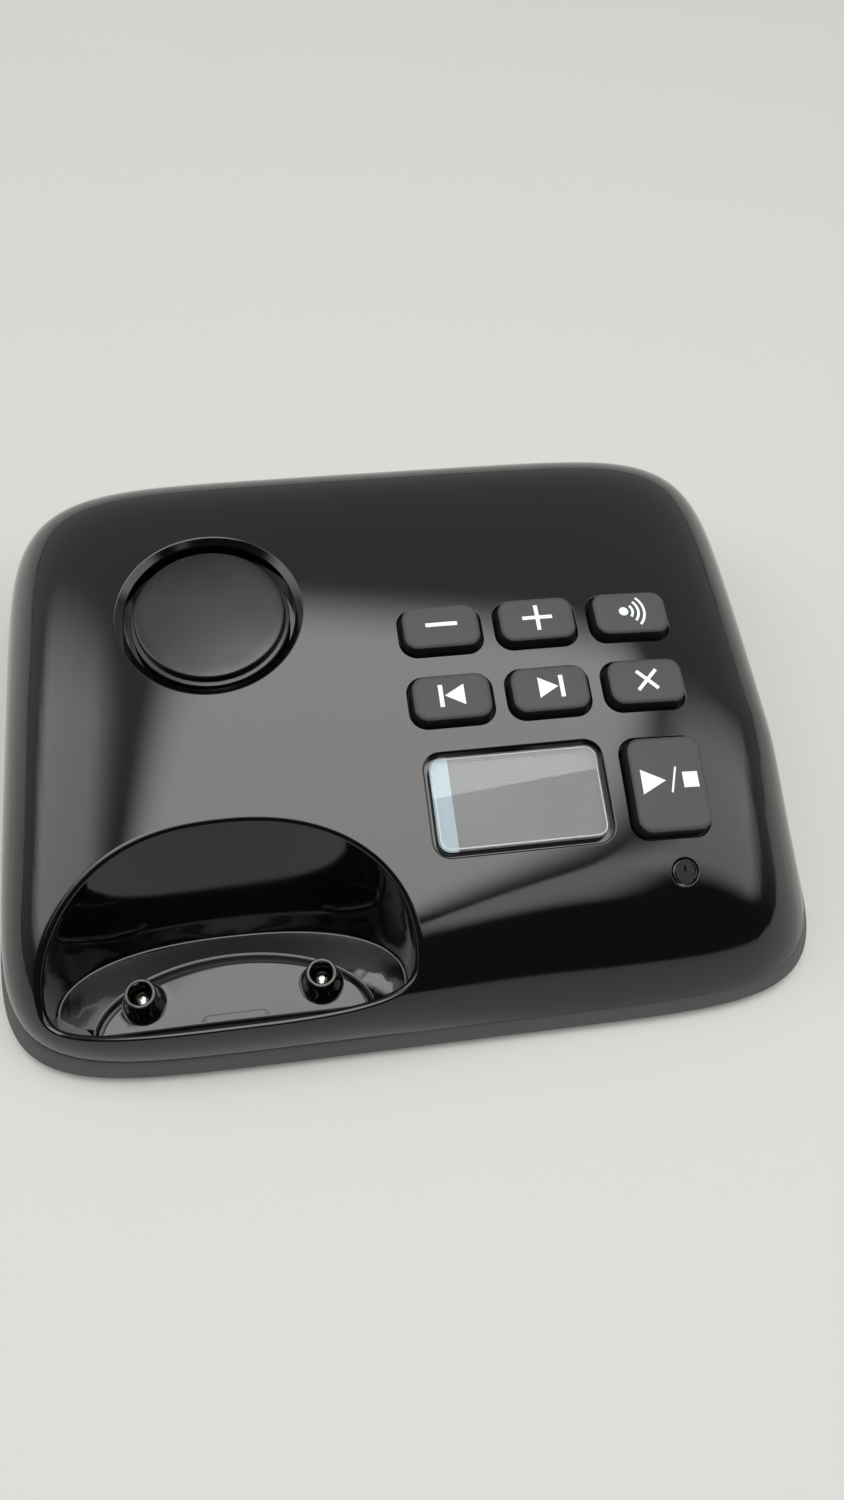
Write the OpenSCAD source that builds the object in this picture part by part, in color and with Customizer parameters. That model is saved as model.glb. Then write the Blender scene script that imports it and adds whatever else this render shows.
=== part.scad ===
/* [Housing] */
// Width of the housing, left to right
body_w = 128; // [116:1:140]
// Depth of the housing, front to back
body_d = 101; // [96:1:110]
// Height of the top above the table at the centre of the housing
crown_h = 28; // [27:0.5:32]
// Rise of the top towards the back, as a slope
crown_rise = 0.11; // [0.07:0.01:0.14]
// Drop of the arched top at its front and back edges
crown_arch = 4.5; // [3:0.25:6]
// Drop of the arched top at its left and right edges
crown_side = 0.5; // [0:0.1:1.5]
// Squareness of the outline seen from above
outline_power = 7; // [5:0.5:9]
// Fullness of the shoulder between the top and the sides
shoulder_power = 7.5; // [6:0.5:10]
// Wall thickness of the top cover
wall_t = 2; // [1.6:0.1:2.4]

/* [Base and feet] */
// Height of the seam between the covers above the table
seam_h = 4.8; // [4.2:0.1:5.4]
// Open gap along the seam
seam_gap = 0.25; // [0.1:0.05:0.4]
// How far the side of the base leans in between its foot and the seam
side_draft = 1.3; // [0.6:0.1:2]
// Thickness of the base's floor
floor_t = 1.8; // [1.4:0.1:2.2]
// Height of the base's locating lip above the seam
lip_h = 2; // [1:0.1:3]
// Thickness of the locating lip
lip_t = 1.2; // [0.8:0.1:1.6]
// Clearance between the lip and the top cover
lip_fit = 0.2; // [0.1:0.05:0.4]
// Radius of a rubber foot
foot_r = 5; // [4:0.25:6]
// How far a rubber foot stands out of the base
foot_h = 0.8; // [0.6:0.1:1.2]
// Depth of the pocket that holds a rubber foot
foot_pocket = 0.8; // [0.4:0.1:1]
// Distance from the side of the housing to the middle of a foot
foot_gap_x = 19; // [16:1:29]
// Distance from the front and the back of the housing to the middle of a foot
foot_gap_y = 14.5; // [12.5:0.5:22.5]
// Length of a cooling slot in the floor
vent_l = 16; // [10:1:20]
// Width of a cooling slot
vent_w = 1.4; // [1:0.1:2]
// Distance between cooling slots
vent_pitch = 4; // [3:0.5:5]
// Number of cooling slots
vent_count = 7; // [3:1:9]

/* [Handset well] */
// Middle of the well, left to right
well_x = -28.8; // [-31:0.1:-27]
// Distance from the front of the housing to the widest line of the well
well_setback = 9.2; // [8.5:0.1:10]
// Half width of the well at its floor
well_floor_w = 25.6; // [24:0.1:26]
// Half width of the well at the level of the crown
well_mouth_w = 27.2; // [26:0.1:28]
// Reach of the well's floor behind its widest line
well_floor_back = 10.3; // [9:0.1:12]
// Reach of the well's mouth behind its widest line
well_mouth_back = 23; // [20:0.1:24]
// Reach of the well's floor in front of its widest line
well_floor_front = 4.7; // [4.2:0.1:5]
// Reach of the well's mouth in front of its widest line
well_mouth_front = 8.6; // [8:0.1:9.5]
// Squareness of the back of the well
well_back_power = 2.3; // [2:0.1:2.8]
// Squareness of the front of the well
well_front_power = 3; // [2.5:0.1:4]
// Height of the well's floor above the table
well_floor_z = 6.9; // [6.7:0.1:7.3]
// Thickness of the well's floor
well_floor_t = 1.3; // [1:0.1:1.4]
// Thickness of the well's wall
well_wall = 1.6; // [1.2:0.1:1.8]

/* [Charging contacts] */
// Half width of the contact carrier
carrier_w = 20.3; // [18:0.1:22]
// Depth of the contact carrier's arched back
carrier_back = 10.2; // [9:0.1:10.5]
// Distance of the carrier's straight front from the well's widest line
carrier_front = 4.1; // [3.5:0.1:4.1]
// Height of the carrier's top above the well's floor
carrier_rise = 1.2; // [0.8:0.1:1.6]
// Clearance round the carrier
carrier_fit = 0.15; // [0.1:0.05:0.25]
// Width of the carrier's retaining flange
carrier_flange = 1; // [0.8:0.1:1.1]
// Thickness of the carrier's retaining flange
carrier_flange_t = 1; // [0.8:0.1:1]
// Thickness of the carrier's top
carrier_top_t = 1.5; // [1.2:0.1:1.6]
// Distance between the two charging contacts
contact_pitch = 25.7; // [22:0.1:28]
// Distance of the charging contacts behind the well's widest line
contact_setback = 0.2; // [-0.3:0.1:1.3]
// Height of a contact post above the carrier
post_h = 4.6; // [3.5:0.1:5.5]
// Outer radius of a post at its rim
post_rim_r = 2.2; // [2.1:0.05:2.4]
// Outer radius of a post at its foot
post_foot_r = 2.75; // [2.5:0.05:3]
// Radius of the bore in a post
post_bore_r = 1.65; // [1.5:0.05:1.7]
// Running clearance of a contact pin in its bore
pin_fit = 0.08; // [0.05:0.01:0.1]
// Depth of a contact pin's tip below the rim of its post
pin_recess = 2.6; // [2:0.1:3]
// Travel of a contact pin
pin_travel = 0.8; // [0.5:0.05:0.9]
// Radius of a contact pin's retaining collar
collar_r = 2.4; // [2.1:0.05:2.5]
// Thickness of the retaining collar
collar_t = 0.5; // [0.4:0.05:0.6]
// Wire diameter of a contact spring
spring_wire = 0.25; // [0.2:0.01:0.27]
// Coil radius of a contact spring, to the middle of its wire
spring_r = 1.8; // [1.4:0.05:1.9]
// Number of turns of a contact spring
spring_turns = 2; // [1.5:0.25:2]
// Width of the snap tab in the carrier's front edge
tab_w = 9.4; // [7:0.1:11]
// Depth of the snap tab
tab_d = 1.6; // [1.2:0.1:2]
// Width of the slit round the snap tab
tab_slit = 0.35; // [0.3:0.05:0.5]

/* [Loudspeaker] */
// Middle of the loudspeaker, left to right
speaker_x = -27.7; // [-30:0.1:-26]
// Distance from the back of the housing to the middle of the loudspeaker
speaker_setback = 38; // [36.5:0.1:39.5]
// Radius of the polished bevel round the speaker recess
bevel_r = 14.3; // [13.8:0.1:14.8]
// Radius of the speaker recess
recess_r = 13.1; // [12.8:0.1:13.4]
// Depth of the bevel below the surface
bevel_h = 1; // [0.6:0.1:1.2]
// Depth of the speaker recess
recess_h = 3.6; // [3.2:0.1:4]
// Thickness of the recess floor
grille_t = 1.6; // [1.2:0.1:2]
// Radius of the round speaker cover
disc_r = 11.5; // [11:0.1:12]
// Thickness of the speaker cover at its edge
disc_t = 1.4; // [1:0.1:1.8]
// Height of the speaker cover's crown above its edge
disc_crown = 0.6; // [0.3:0.1:0.9]
// Depth of the speaker cover's edge below the surface
disc_sink = 0.4; // [0.2:0.1:0.6]
// Radius of the speaker cover's skirt
skirt_r = 12.2; // [12:0.1:12.4]
// Radius of a sound hole
sound_hole_r = 0.9; // [0.6:0.1:1.1]
// Radius of the loudspeaker's rim
speaker_r = 13; // [12.5:0.1:13.3]
// Thickness of the loudspeaker's rim
speaker_rim_t = 1; // [0.8:0.1:1.4]
// Depth of the loudspeaker's basket below its rim
basket_h = 4; // [3:0.1:5]
// Radius of the loudspeaker's magnet
magnet_r = 7.5; // [6:0.1:8]
// Thickness of the loudspeaker's magnet
magnet_h = 4; // [3:0.1:4.5]
// Thickness of the foam gasket in front of the loudspeaker
gasket_t = 0.8; // [0.6:0.1:1.2]
// Clearance between the loudspeaker and its locating ring
speaker_fit = 0.15; // [0.1:0.05:0.25]

/* [Keys] */
// Middle of the left column of keys
keys_x = 7.2; // [6.9:0.1:7.6]
// Distance from the front of the housing to the middle of the back row of keys
keys_setback = 56.1; // [55:0.1:57]
// Distance between key columns
key_pitch_x = 15; // [14.6:0.1:15.2]
// Distance between key rows
key_pitch_y = 11.9; // [11.5:0.1:12]
// Width of a key
key_w = 12.2; // [11.5:0.1:12.4]
// Depth of a key
key_d = 7.7; // [7:0.1:8]
// Corner radius of a key
key_corner = 2.3; // [1.6:0.1:2.6]
// Middle of the play and stop key, left to right
play_x = 37.4; // [37:0.1:37.8]
// Distance from the front of the housing to the middle of the play and stop key
play_setback = 27.9; // [27.6:0.1:28.2]
// Width of the play and stop key
play_w = 11.9; // [11:0.1:12.1]
// Depth of the play and stop key
play_d = 14.9; // [14:0.1:15.2]
// Height of the keys above the cover
key_rise = 2; // [1.6:0.1:2.4]
// Radius of the rounded edge on top of a key
key_round = 0.7; // [0.4:0.1:0.9]
// Clearance round a key in its hole
key_fit = 0.35; // [0.3:0.05:0.45]
// Travel of a key
key_travel = 1; // [0.6:0.1:1.1]
// Width of the flange that keeps a key in its hole
key_flange = 0.8; // [0.6:0.05:0.85]
// Thickness of that flange
key_flange_t = 0.8; // [0.6:0.1:0.9]
// Radius of the conductive pill under a key
pill_r = 2.2; // [1.6:0.1:2.6]

/* [Display] */
// Middle of the display window, left to right
window_x = 15.1; // [14.8:0.1:15.4]
// Distance from the front of the housing to the middle of the display window
window_setback = 28.3; // [28:0.1:28.6]
// Width of the display window's recess
window_w = 26.9; // [25:0.1:27]
// Depth of the display window's recess, along the slope
window_d = 15.8; // [15:0.1:16.2]
// Corner radius of the display window's recess
window_corner = 2.6; // [1.5:0.1:3.2]
// Width of the groove left round the display lens
lens_fit = 0.7; // [0.3:0.05:0.9]
// Thickness of the display lens
lens_t = 1.5; // [1.2:0.1:1.8]
// Width of the ledge that carries the lens
ledge_w = 2; // [1.6:0.1:2.4]
// Thickness of the ledge
ledge_t = 0.9; // [0.7:0.1:1.2]
// Width of the pale strip at the left edge of the display
strip_w = 3; // [2:0.1:4]
// Thickness of the display's face plate
face_t = 0.2; // [0.1:0.05:0.3]

/* [Microphone] */
// Middle of the microphone, left to right
mic_x = 38.2; // [37.8:0.1:38.6]
// Distance from the front of the housing to the microphone
mic_setback = 15.6; // [15.3:0.1:15.6]
// Radius of the microphone's rubber nose in the cover
nose_r = 2.05; // [1.9:0.05:2.2]
// Radius of the sound pinhole
pinhole_r = 0.4; // [0.3:0.05:0.5]
// Distance of the pinhole from the middle of the nose
pinhole_off = 0.9; // [0.6:0.1:1.1]
// Radius of the microphone capsule
capsule_r = 2.4; // [2:0.1:2.5]
// Length of the microphone capsule
capsule_h = 2.2; // [1.8:0.1:2.4]
// Wall thickness of the rubber boot
boot_t = 0.7; // [0.5:0.1:0.8]

/* [Circuit boards] */
// Thickness of the main board
board_t = 1.2; // [1:0.1:1.6]
// Height of the supports under the main board
board_stand = 0.6; // [0.4:0.1:0.8]
// Distance from the side of the housing to the main board
board_gap_x = 11; // [10:0.5:15]
// Distance from the front and the back of the housing to the main board
board_gap_y = 8.5; // [7.5:0.5:10.5]
// Corner radius of the main board
board_corner = 14; // [10:1:18]
// Thickness of the key board
key_board_t = 1; // [0.8:0.1:1.2]
// Width of the key board
key_board_w = 52.9; // [52.5:0.1:53.3]
// Length of the key board along the slope
key_board_l = 41; // [40.5:0.1:41.5]
// Middle of the key board, left to right
key_board_x = 22.35; // [22.15:0.05:22.55]
// Distance from the front of the housing to the middle of the key board
key_board_setback = 40.9; // [40.6:0.1:41.2]
// Distance of the key board below the surface
key_board_depth = 6.2; // [6:0.1:6.5]
// Thickness of the keypad mat
mat_t = 0.7; // [0.5:0.1:0.8]
// Clearance between a pressed pill and the key board
pill_gap = 0.15; // [0.1:0.05:0.3]
// Radius of a gold key contact on the key board
key_pad_r = 1.8; // [1.4:0.1:2.4]
// Thickness of a gold key contact
key_pad_t = 0.05; // [0.03:0.01:0.08]

/* [Sockets] */
// Middle of the telephone line socket, left to right
line_x = 12; // [8:1:16]
// Width of the telephone line socket
line_w = 13; // [12:0.1:14]
// Height of the telephone line socket
line_h = 11; // [10:0.1:11.5]
// Length of the telephone line socket
line_l = 14; // [12:0.1:15]
// Width of the opening for the line plug
plug_w = 9.8; // [9.6:0.1:10]
// Height of the opening for the line plug
plug_h = 6.8; // [6.6:0.1:7]
// Depth of the opening for the line plug
plug_l = 11; // [10:0.1:11.5]
// Width of the groove for the line plug's latch
latch_w = 4; // [3.6:0.1:4.4]
// Middle of the power socket, left to right
power_x = 32; // [29:1:36]
// Width of the power socket
power_w = 9; // [8.6:0.1:10]
// Height of the power socket
power_h = 10; // [9.5:0.1:10.5]
// Length of the power socket
power_l = 13; // [12:0.1:14]
// Radius of the power socket's bore
power_bore_r = 3.1; // [2.9:0.05:3.3]
// Depth of the power socket's bore
power_bore_l = 9.5; // [8.5:0.1:10]
// Radius of the power socket's centre pin
power_pin_r = 1; // [0.8:0.05:1.1]
// How far the sockets' faces lie behind the rear wall's foot
socket_sink = 2; // [1.4:0.1:2.2]
// Clearance round the sockets in the rear wall
socket_fit = 0.3; // [0.2:0.05:0.5]

/* [Fasteners] */
// Distance from the side of the housing to the outer case screws
screw_gap_x = 10; // [9:0.5:14]
// Distance from the front and the back of the housing to the outer case screws
screw_gap_y = 15.5; // [14.5:0.5:19.5]
// Middle of the front case screw, left to right
front_screw_x = 5.4; // [5:0.1:8]
// Distance from the front of the housing to the front case screw
front_screw_setback = 8.5; // [8:0.1:10.5]
// Radius of a case screw's shank
screw_r = 1.3; // [1.1:0.05:1.4]
// Length of a case screw's shank
screw_l = 8; // [6:0.5:8.5]
// Radius of a screw head
head_r = 2.6; // [2.3:0.1:2.8]
// Height of a screw head
head_h = 1.7; // [1.4:0.1:1.8]
// Depth of the pocket below a screw head
head_sink = 0.8; // [0.6:0.1:1]
// Radius of a screw boss
boss_r = 3.6; // [3.4:0.1:4]
// Clearance round a screw and its head
screw_fit = 0.2; // [0.1:0.05:0.3]
// Radius of a small board screw
small_screw_r = 0.9; // [0.8:0.05:1]

/* [Hidden] */

// Facets round a true circle, and points round the outline of the housing
$fn = 48;
outline_n = 72;
well_n = 60;
eps = 0.01;

// Colours of the finishes
gloss_black = [0.02, 0.02, 0.025];
matte_black = [0.10, 0.10, 0.11];
key_grey = [0.30, 0.30, 0.31];
steel = [0.75, 0.75, 0.77];
gold = [0.85, 0.65, 0.25];
board_green = [0.10, 0.35, 0.20];

half_w = body_w / 2;
half_d = body_d / 2;
cover_a = half_w - side_draft;
cover_b = half_d - side_draft;
well_y = well_setback - half_d;
carrier_y = well_y - carrier_front;
contact_y = well_y + contact_setback;
speaker_y = half_d - speaker_setback;
keys_y = keys_setback - half_d;
play_y = play_setback - half_d;
window_y = window_setback - half_d;
mic_y = mic_setback - half_d;
key_board_y = key_board_setback - half_d;
foot_x = half_w - foot_gap_x;
foot_y = half_d - foot_gap_y;
screw_x = half_w - screw_gap_x;
screw_y = half_d - screw_gap_y;
front_screw_y = front_screw_setback - half_d;
board_w = body_w - 2 * board_gap_x;
board_d = body_d - 2 * board_gap_y;
floor_top = foot_h + floor_t;
board_bottom = floor_top + board_stand;
board_top = board_bottom + board_t;

// ---- shape of the housing: a squared oval outline under an arched, round-shouldered top ----

function oval(a, b, n, t) = [
  a * sign(cos(t)) * pow(abs(cos(t)), 2 / n),
  b * sign(sin(t)) * pow(abs(sin(t)), 2 / n)
];
function outline(inset, n = outline_n) = [
  for (i = [0:n - 1]) oval(half_w - inset, half_d - inset, outline_power, 360 * i / n)
];
function crown_z(x, y) = crown_h + crown_rise * y
  - crown_side * pow(x / half_w, 2) - crown_arch * pow(y / half_d, 2);
function reach(x, y) = pow(
  pow(abs(x / cover_a), outline_power) + pow(abs(y / cover_b), outline_power),
  1 / outline_power
);
function fullness(rho) = sqrt(max(0, 1 - pow(rho, shoulder_power)));
function top_z(x, y) = seam_h + (crown_z(x, y) - seam_h) * fullness(reach(x, y));

// Slopes of the top at a point, and the tilt that stands a piece square to it
slope_step = 0.5;
function slope_x(x, y) = (top_z(x + slope_step, y) - top_z(x - slope_step, y)) / (2 * slope_step);
function slope_y(x, y) = (top_z(x, y + slope_step) - top_z(x, y - slope_step)) / (2 * slope_step);
function tilt_y(x, y) = atan(-slope_x(x, y));
function tilt_x(x, y) = atan(slope_y(x, y) * cos(tilt_y(x, y)));
function normal_at(x, y) =
  let (v = [-slope_x(x, y), -slope_y(x, y), 1]) v / norm(v);

module on_top(x, y) {
  translate([x, y, top_z(x, y)])
    rotate([tilt_x(x, y), tilt_y(x, y), 0])
      children();
}

// Rings of points, lowest first, closed by a flat foot and by a tip or a flat lid
module ring_solid(rings, tip) {
  n = len(rings[0]);
  k = len(rings);
  points = [for (ring = rings) for (p = ring) p];
  foot = [for (i = [0:n - 1]) i];
  sides = [
    for (j = [0:k - 2]) for (i = [0:n - 1])
      let (a = j * n + i, b = j * n + (i + 1) % n)
        each [[a, a + n, b + n], [a, b + n, b]]
  ];
  last = (k - 1) * n;
  lid = is_undef(tip)
    ? [[for (i = [n - 1:-1:0]) last + i]]
    : [for (i = [0:n - 1]) [last + (i + 1) % n, last + i, k * n]];
  polyhedron(
    points = is_undef(tip) ? points : concat(points, [tip]),
    faces = concat([foot], sides, lid),
    convexity = 6
  );
}

// Levels of the shoulder, as heights, and of the top's middle, as reaches
shoulder_fine = [0, 0.16, 0.32, 0.47, 0.6, 0.71, 0.8, 0.87, 0.92, 0.96];
middle_fine = [0.58, 0.44, 0.3, 0.15];
shoulder_coarse = [0, 0.16, 0.32, 0.6, 0.8, 0.92, 0.97];
middle_coarse = [0.58, 0.4, 0.2];

module pillow(inset, drop, skirt, shoulder, middle) {
  a = cover_a - inset;
  b = cover_b - inset;
  base = [for (i = [0:outline_n - 1]) oval(a, b, outline_power, 360 * i / outline_n)];
  reaches = concat([for (s = shoulder) pow(1 - s * s, 1 / shoulder_power)], middle);
  foot = [for (p = base) [p[0], p[1], seam_h - skirt]];
  upper = [
    for (rho = reaches)
      [for (p = base) [
        p[0] * rho,
        p[1] * rho,
        seam_h + (crown_z(p[0] * rho, p[1] * rho) - drop - seam_h) * fullness(rho)
      ]]
  ];
  rings = skirt > 0 ? concat([foot], upper) : upper;
  ring_solid(rings, [0, 0, crown_z(0, 0) - drop]);
}

// ---- outline of the handset well: arched at the back, flatter at the front ----

function well_outline(w, back, front) = [
  for (i = [0:well_n - 1])
    let (
      t = 360 * i / well_n,
      n = sin(t) >= 0 ? well_back_power : well_front_power,
      reach_y = sin(t) >= 0 ? back : front,
      p = oval(w, reach_y, n, t)
    ) [well_x + p[0], well_y + p[1]]
];

module well(grow, floor_z) {
  mouth_z = crown_h + 2;
  hull() {
    translate([0, 0, floor_z])
      linear_extrude(eps)
        polygon(well_outline(well_floor_w + grow, well_floor_back + grow, well_floor_front + grow));
    translate([0, 0, mouth_z])
      linear_extrude(eps)
        polygon(well_outline(well_mouth_w + grow, well_mouth_back + grow, well_mouth_front + grow));
  }
}

// ---- outline of the contact carrier: half an oval with a straight front ----

module carrier_outline(grow) {
  difference() {
    translate([well_x, carrier_y])
      scale_free_oval(carrier_w + grow, carrier_back + grow);
    translate([well_x - body_w, carrier_y - grow - body_d])
      square([2 * body_w, body_d]);
  }
}

module scale_free_oval(a, b) {
  polygon([for (i = [0:47]) oval(a, b, 2, 7.5 * i)]);
}

module rounded_rect(w, d, r) {
  square([w - 2 * r, d], center = true);
  square([w, d - 2 * r], center = true);
  for (sx = [-1, 1])
    for (sy = [-1, 1])
      translate([sx * (w / 2 - r), sy * (d / 2 - r)])
        circle(r, $fn = 32);
}

// ---- places that several pieces share ----

screws = [
  [-screw_x, screw_y], [screw_x, screw_y], [screw_x, -screw_y], [front_screw_x, front_screw_y]
];
small_keys = [
  ["key_volume_down", 0, 0], ["key_volume_up", 1, 0], ["key_page", 2, 0],
  ["key_previous", 0, 1], ["key_next", 1, 1], ["key_delete", 2, 1]
];
function key_place(i) = [
  keys_x + key_pitch_x * small_keys[i][1],
  keys_y - key_pitch_y * small_keys[i][2]
];
key_places = concat([for (i = [0:len(small_keys) - 1]) key_place(i)], [[play_x, play_y]]);

board_slope = atan(slope_y(key_board_x, key_board_y));
board_origin = [
  key_board_x, key_board_y, top_z(key_board_x, key_board_y) - key_board_depth
];
board_normal = [0, -sin(board_slope), cos(board_slope)];
// Distance from the surface down to the key board, square to the surface
function board_depth(x, y) =
  ([x, y, top_z(x, y)] - board_origin) * board_normal / (normal_at(x, y) * board_normal);

module on_key_board() {
  translate(board_origin)
    rotate([board_slope, 0, 0])
      children();
}

contact_places = [[well_x - contact_pitch / 2, contact_y], [well_x + contact_pitch / 2, contact_y]];
carrier_top = well_floor_z + carrier_rise;
post_top = carrier_top + post_h;
collar_top = carrier_top - carrier_top_t - eps;
speaker_front = recess_h + grille_t + gasket_t;
mic_seat = wall_t + boot_t;
mic_boss_h = mic_seat + capsule_h + 0.4;
// Places of the main board's screws, from its edges
main_screws = [[7 - board_w / 2, 4], [board_w / 2 - 3, 2], [-2, board_d / 2 - 4]];
main_pad_r = 3;
key_board_inset = [2.2, 3.5];
key_post_r = 2;
key_board_corners = [
  for (sx = [-1, 1]) for (sy = [-1, 1]) [
    sx * (key_board_w / 2 - key_board_inset[0]),
    sy * (key_board_l / 2 - key_board_inset[1])
  ]
];
// Clearance of a cut thread in its plastic bore
thread_fit = 0.03;
// Wall left over a key's flange, and the air above the flange
key_ledge = 1.5;
key_air = 0.3;

// ---- covers ----

// Hole for a key, and the flat pocket under it that gives its flange room
module key_hole(w, d) {
  room = 2 * (key_flange + key_air);
  translate([0, 0, -2 * wall_t])
    linear_extrude(4 * wall_t)
      rounded_rect(w + 2 * key_fit, d + 2 * key_fit, key_corner + key_fit);
  translate([0, 0, -key_ledge - 3 * wall_t])
    linear_extrude(3 * wall_t)
      rounded_rect(w + room, d + room, key_corner + key_flange);
}

module socket_cuts() {
  for (s = [[line_x, line_w, line_h], [power_x, power_w, power_h]])
    translate([s[0] - s[1] / 2 - socket_fit, half_d - socket_sink - 5, board_top - socket_fit])
      cube([s[1] + 2 * socket_fit, 10, s[2] + 2 * socket_fit]);
}

module speaker_well() {
  translate([0, 0, -bevel_h])
    cylinder(r1 = recess_r, r2 = bevel_r, h = bevel_h);
  cylinder(r = bevel_r, h = 4);
  translate([0, 0, -recess_h])
    cylinder(r = recess_r, h = recess_h);
}

module sound_holes() {
  for (ring = [[12, 9.6], [8, 6.4]])
    for (i = [0:ring[0] - 1])
      rotate(360 * (i + 0.5) / ring[0])
        translate([ring[1], 0, -recess_h - grille_t - 1])
          cylinder(r = sound_hole_r, h = grille_t + 2, $fn = 24);
}

module top_cover() color(gloss_black) {
  ring_r = speaker_r + speaker_fit;
  difference() {
    intersection() {
      pillow(0, 0, 0, shoulder_fine, middle_fine);
      union() {
        difference() {
          translate([-body_w, -body_d, 0])
            cube([2 * body_w, 2 * body_d, 2 * crown_h]);
          pillow(wall_t, wall_t, 3, shoulder_coarse, middle_coarse);
        }
        well(well_wall, well_floor_z - well_floor_t);
        on_top(speaker_x, speaker_y)
          translate([0, 0, -recess_h - grille_t - gasket_t - speaker_rim_t - 2])
            cylinder(r = ring_r + 1.4, h = recess_h + grille_t + gasket_t + speaker_rim_t + 2);
        on_top(window_x, window_y)
          translate([0, 0, -lens_t - face_t - ledge_t])
            linear_extrude(lens_t + face_t + ledge_t)
              rounded_rect(window_w + 2, window_d + 2.4, window_corner + 1);
        on_top(mic_x, mic_y)
          translate([0, 0, -mic_boss_h])
            cylinder(r = capsule_r + boot_t + 1.1, h = mic_boss_h);
        for (s = screws)
          translate([s[0], s[1], seam_h])
            cylinder(r = boss_r, h = top_z(s[0], s[1]) - seam_h);
        for (c = key_board_corners)
          on_key_board()
            translate([c[0], c[1], eps])
              cylinder(r = key_post_r, h = key_board_depth);
      }
    }
    well(0, well_floor_z);
    // seat of the contact carrier, open through the well's floor
    translate([0, 0, well_floor_z - well_floor_t - eps])
      linear_extrude(well_floor_t + 1)
        carrier_outline(carrier_fit);
    // speaker recess, sound holes and the loudspeaker's seat
    on_top(speaker_x, speaker_y) {
      speaker_well();
      sound_holes();
      translate([0, 0, -recess_h - grille_t - 10])
        cylinder(r = ring_r, h = 10);
    }
    for (i = [0:len(small_keys) - 1])
      on_top(key_place(i)[0], key_place(i)[1])
        key_hole(key_w, key_d);
    on_top(play_x, play_y)
      key_hole(play_w, play_d);
    on_top(window_x, window_y) {
      translate([0, 0, -lens_t - face_t])
        linear_extrude(3 * lens_t)
          rounded_rect(window_w, window_d, window_corner);
      translate([0, 0, -lens_t - face_t - ledge_t - 1])
        linear_extrude(2 * lens_t)
          square([window_w - 2 * ledge_w, window_d - 2 * ledge_w], center = true);
    }
    on_top(mic_x, mic_y) {
      translate([0, 0, -mic_boss_h])
        cylinder(r = nose_r + 0.03, h = 2 * mic_boss_h);
      translate([0, 0, -mic_boss_h - 1])
        cylinder(r = capsule_r + boot_t + 0.03, h = mic_boss_h + 1 - wall_t);
    }
    for (s = screws)
      translate([s[0], s[1], seam_h - 1])
        cylinder(r = screw_r + thread_fit, h = screw_l + 1);
    for (c = key_board_corners)
      on_key_board()
        translate([c[0], c[1], -1])
          cylinder(r = small_screw_r + thread_fit, h = 3.7, $fn = 24);
    socket_cuts();
  }
}

module bottom_cover() color(matte_black) {
  foot_round = 1;
  rings = [
    [for (p = outline(foot_round)) [p[0], p[1], foot_h]],
    [for (p = outline(foot_round * 0.3)) [p[0], p[1], foot_h + foot_round * 0.3]],
    [for (p = outline(0)) [p[0], p[1], foot_h + foot_round]],
    [for (p = outline(side_draft)) [p[0], p[1], seam_h - seam_gap]]
  ];
  lip_out = side_draft + wall_t + lip_fit;
  difference() {
    union() {
      ring_solid(rings);
      linear_extrude(seam_h + lip_h)
        polygon(outline(lip_out));
    }
    // inside of the tray
    translate([0, 0, floor_top])
      linear_extrude(seam_h + lip_h)
        difference() {
          polygon(outline(lip_out + lip_t));
          for (s = screws)
            translate([s[0], s[1]])
              circle(boss_r);
        }
    // the bosses stop at the seam, and the lip makes way for the cover's bosses and the well
    translate([0, 0, seam_h])
      linear_extrude(lip_h + 1) {
        polygon(outline(lip_out + lip_t));
        for (s = screws)
          translate([s[0], s[1]])
            circle(boss_r + lip_fit);
      }
    translate([0, 0, board_bottom + 0.8])
      linear_extrude(seam_h + lip_h)
        polygon(well_outline(
          well_floor_w + well_wall + lip_fit,
          well_floor_back + well_wall + lip_fit,
          well_floor_front + well_wall + lip_fit
        ));
    // nothing of the lip's block below the floor
    translate([-body_w, -body_d, -1])
      cube([2 * body_w, 2 * body_d, foot_h + 1]);
    for (s = screws)
      translate([s[0], s[1], 0]) {
        translate([0, 0, foot_h - 1])
          cylinder(r = head_r + screw_fit, h = head_sink + head_h + 1);
        cylinder(r = screw_r + screw_fit, h = seam_h + 1);
      }
    for (sx = [-1, 1])
      for (sy = [-1, 1])
        translate([sx * foot_x, sy * foot_y, 0])
          cylinder(r = foot_r + 0.1, h = foot_h + foot_pocket);
    for (i = [0:vent_count - 1])
      translate([20 + (i - (vent_count - 1) / 2) * vent_pitch, 8, 0])
        linear_extrude(seam_h)
          rounded_rect(vent_w, vent_l, vent_w / 2 - eps);
    for (s = main_screws)
      translate([s[0], s[1], foot_h + 0.6])
        cylinder(r = small_screw_r + thread_fit, h = floor_t + 1, $fn = 24);
    socket_cuts();
  }
  // pads that carry the main board
  for (s = main_screws)
    translate([s[0], s[1], floor_top - eps])
      difference() {
        cylinder(r = main_pad_r, h = board_stand + eps);
        translate([0, 0, -1])
          cylinder(r = small_screw_r + thread_fit, h = 3, $fn = 24);
      }
}

module rubber_feet() color([0.08, 0.08, 0.08]) {
  for (sx = [-1, 1])
    for (sy = [-1, 1])
      translate([sx * foot_x, sy * foot_y, 0]) {
        cylinder(r1 = foot_r - 0.4, r2 = foot_r, h = 0.4);
        translate([0, 0, 0.4])
          cylinder(r = foot_r, h = foot_h + foot_pocket - 0.4);
      }
}

module cross_slot(size, depth) {
  for (a = [0, 90])
    rotate(a)
      translate([-size / 2, -size / 8, -eps])
        cube([size, size / 4, depth]);
}

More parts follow.
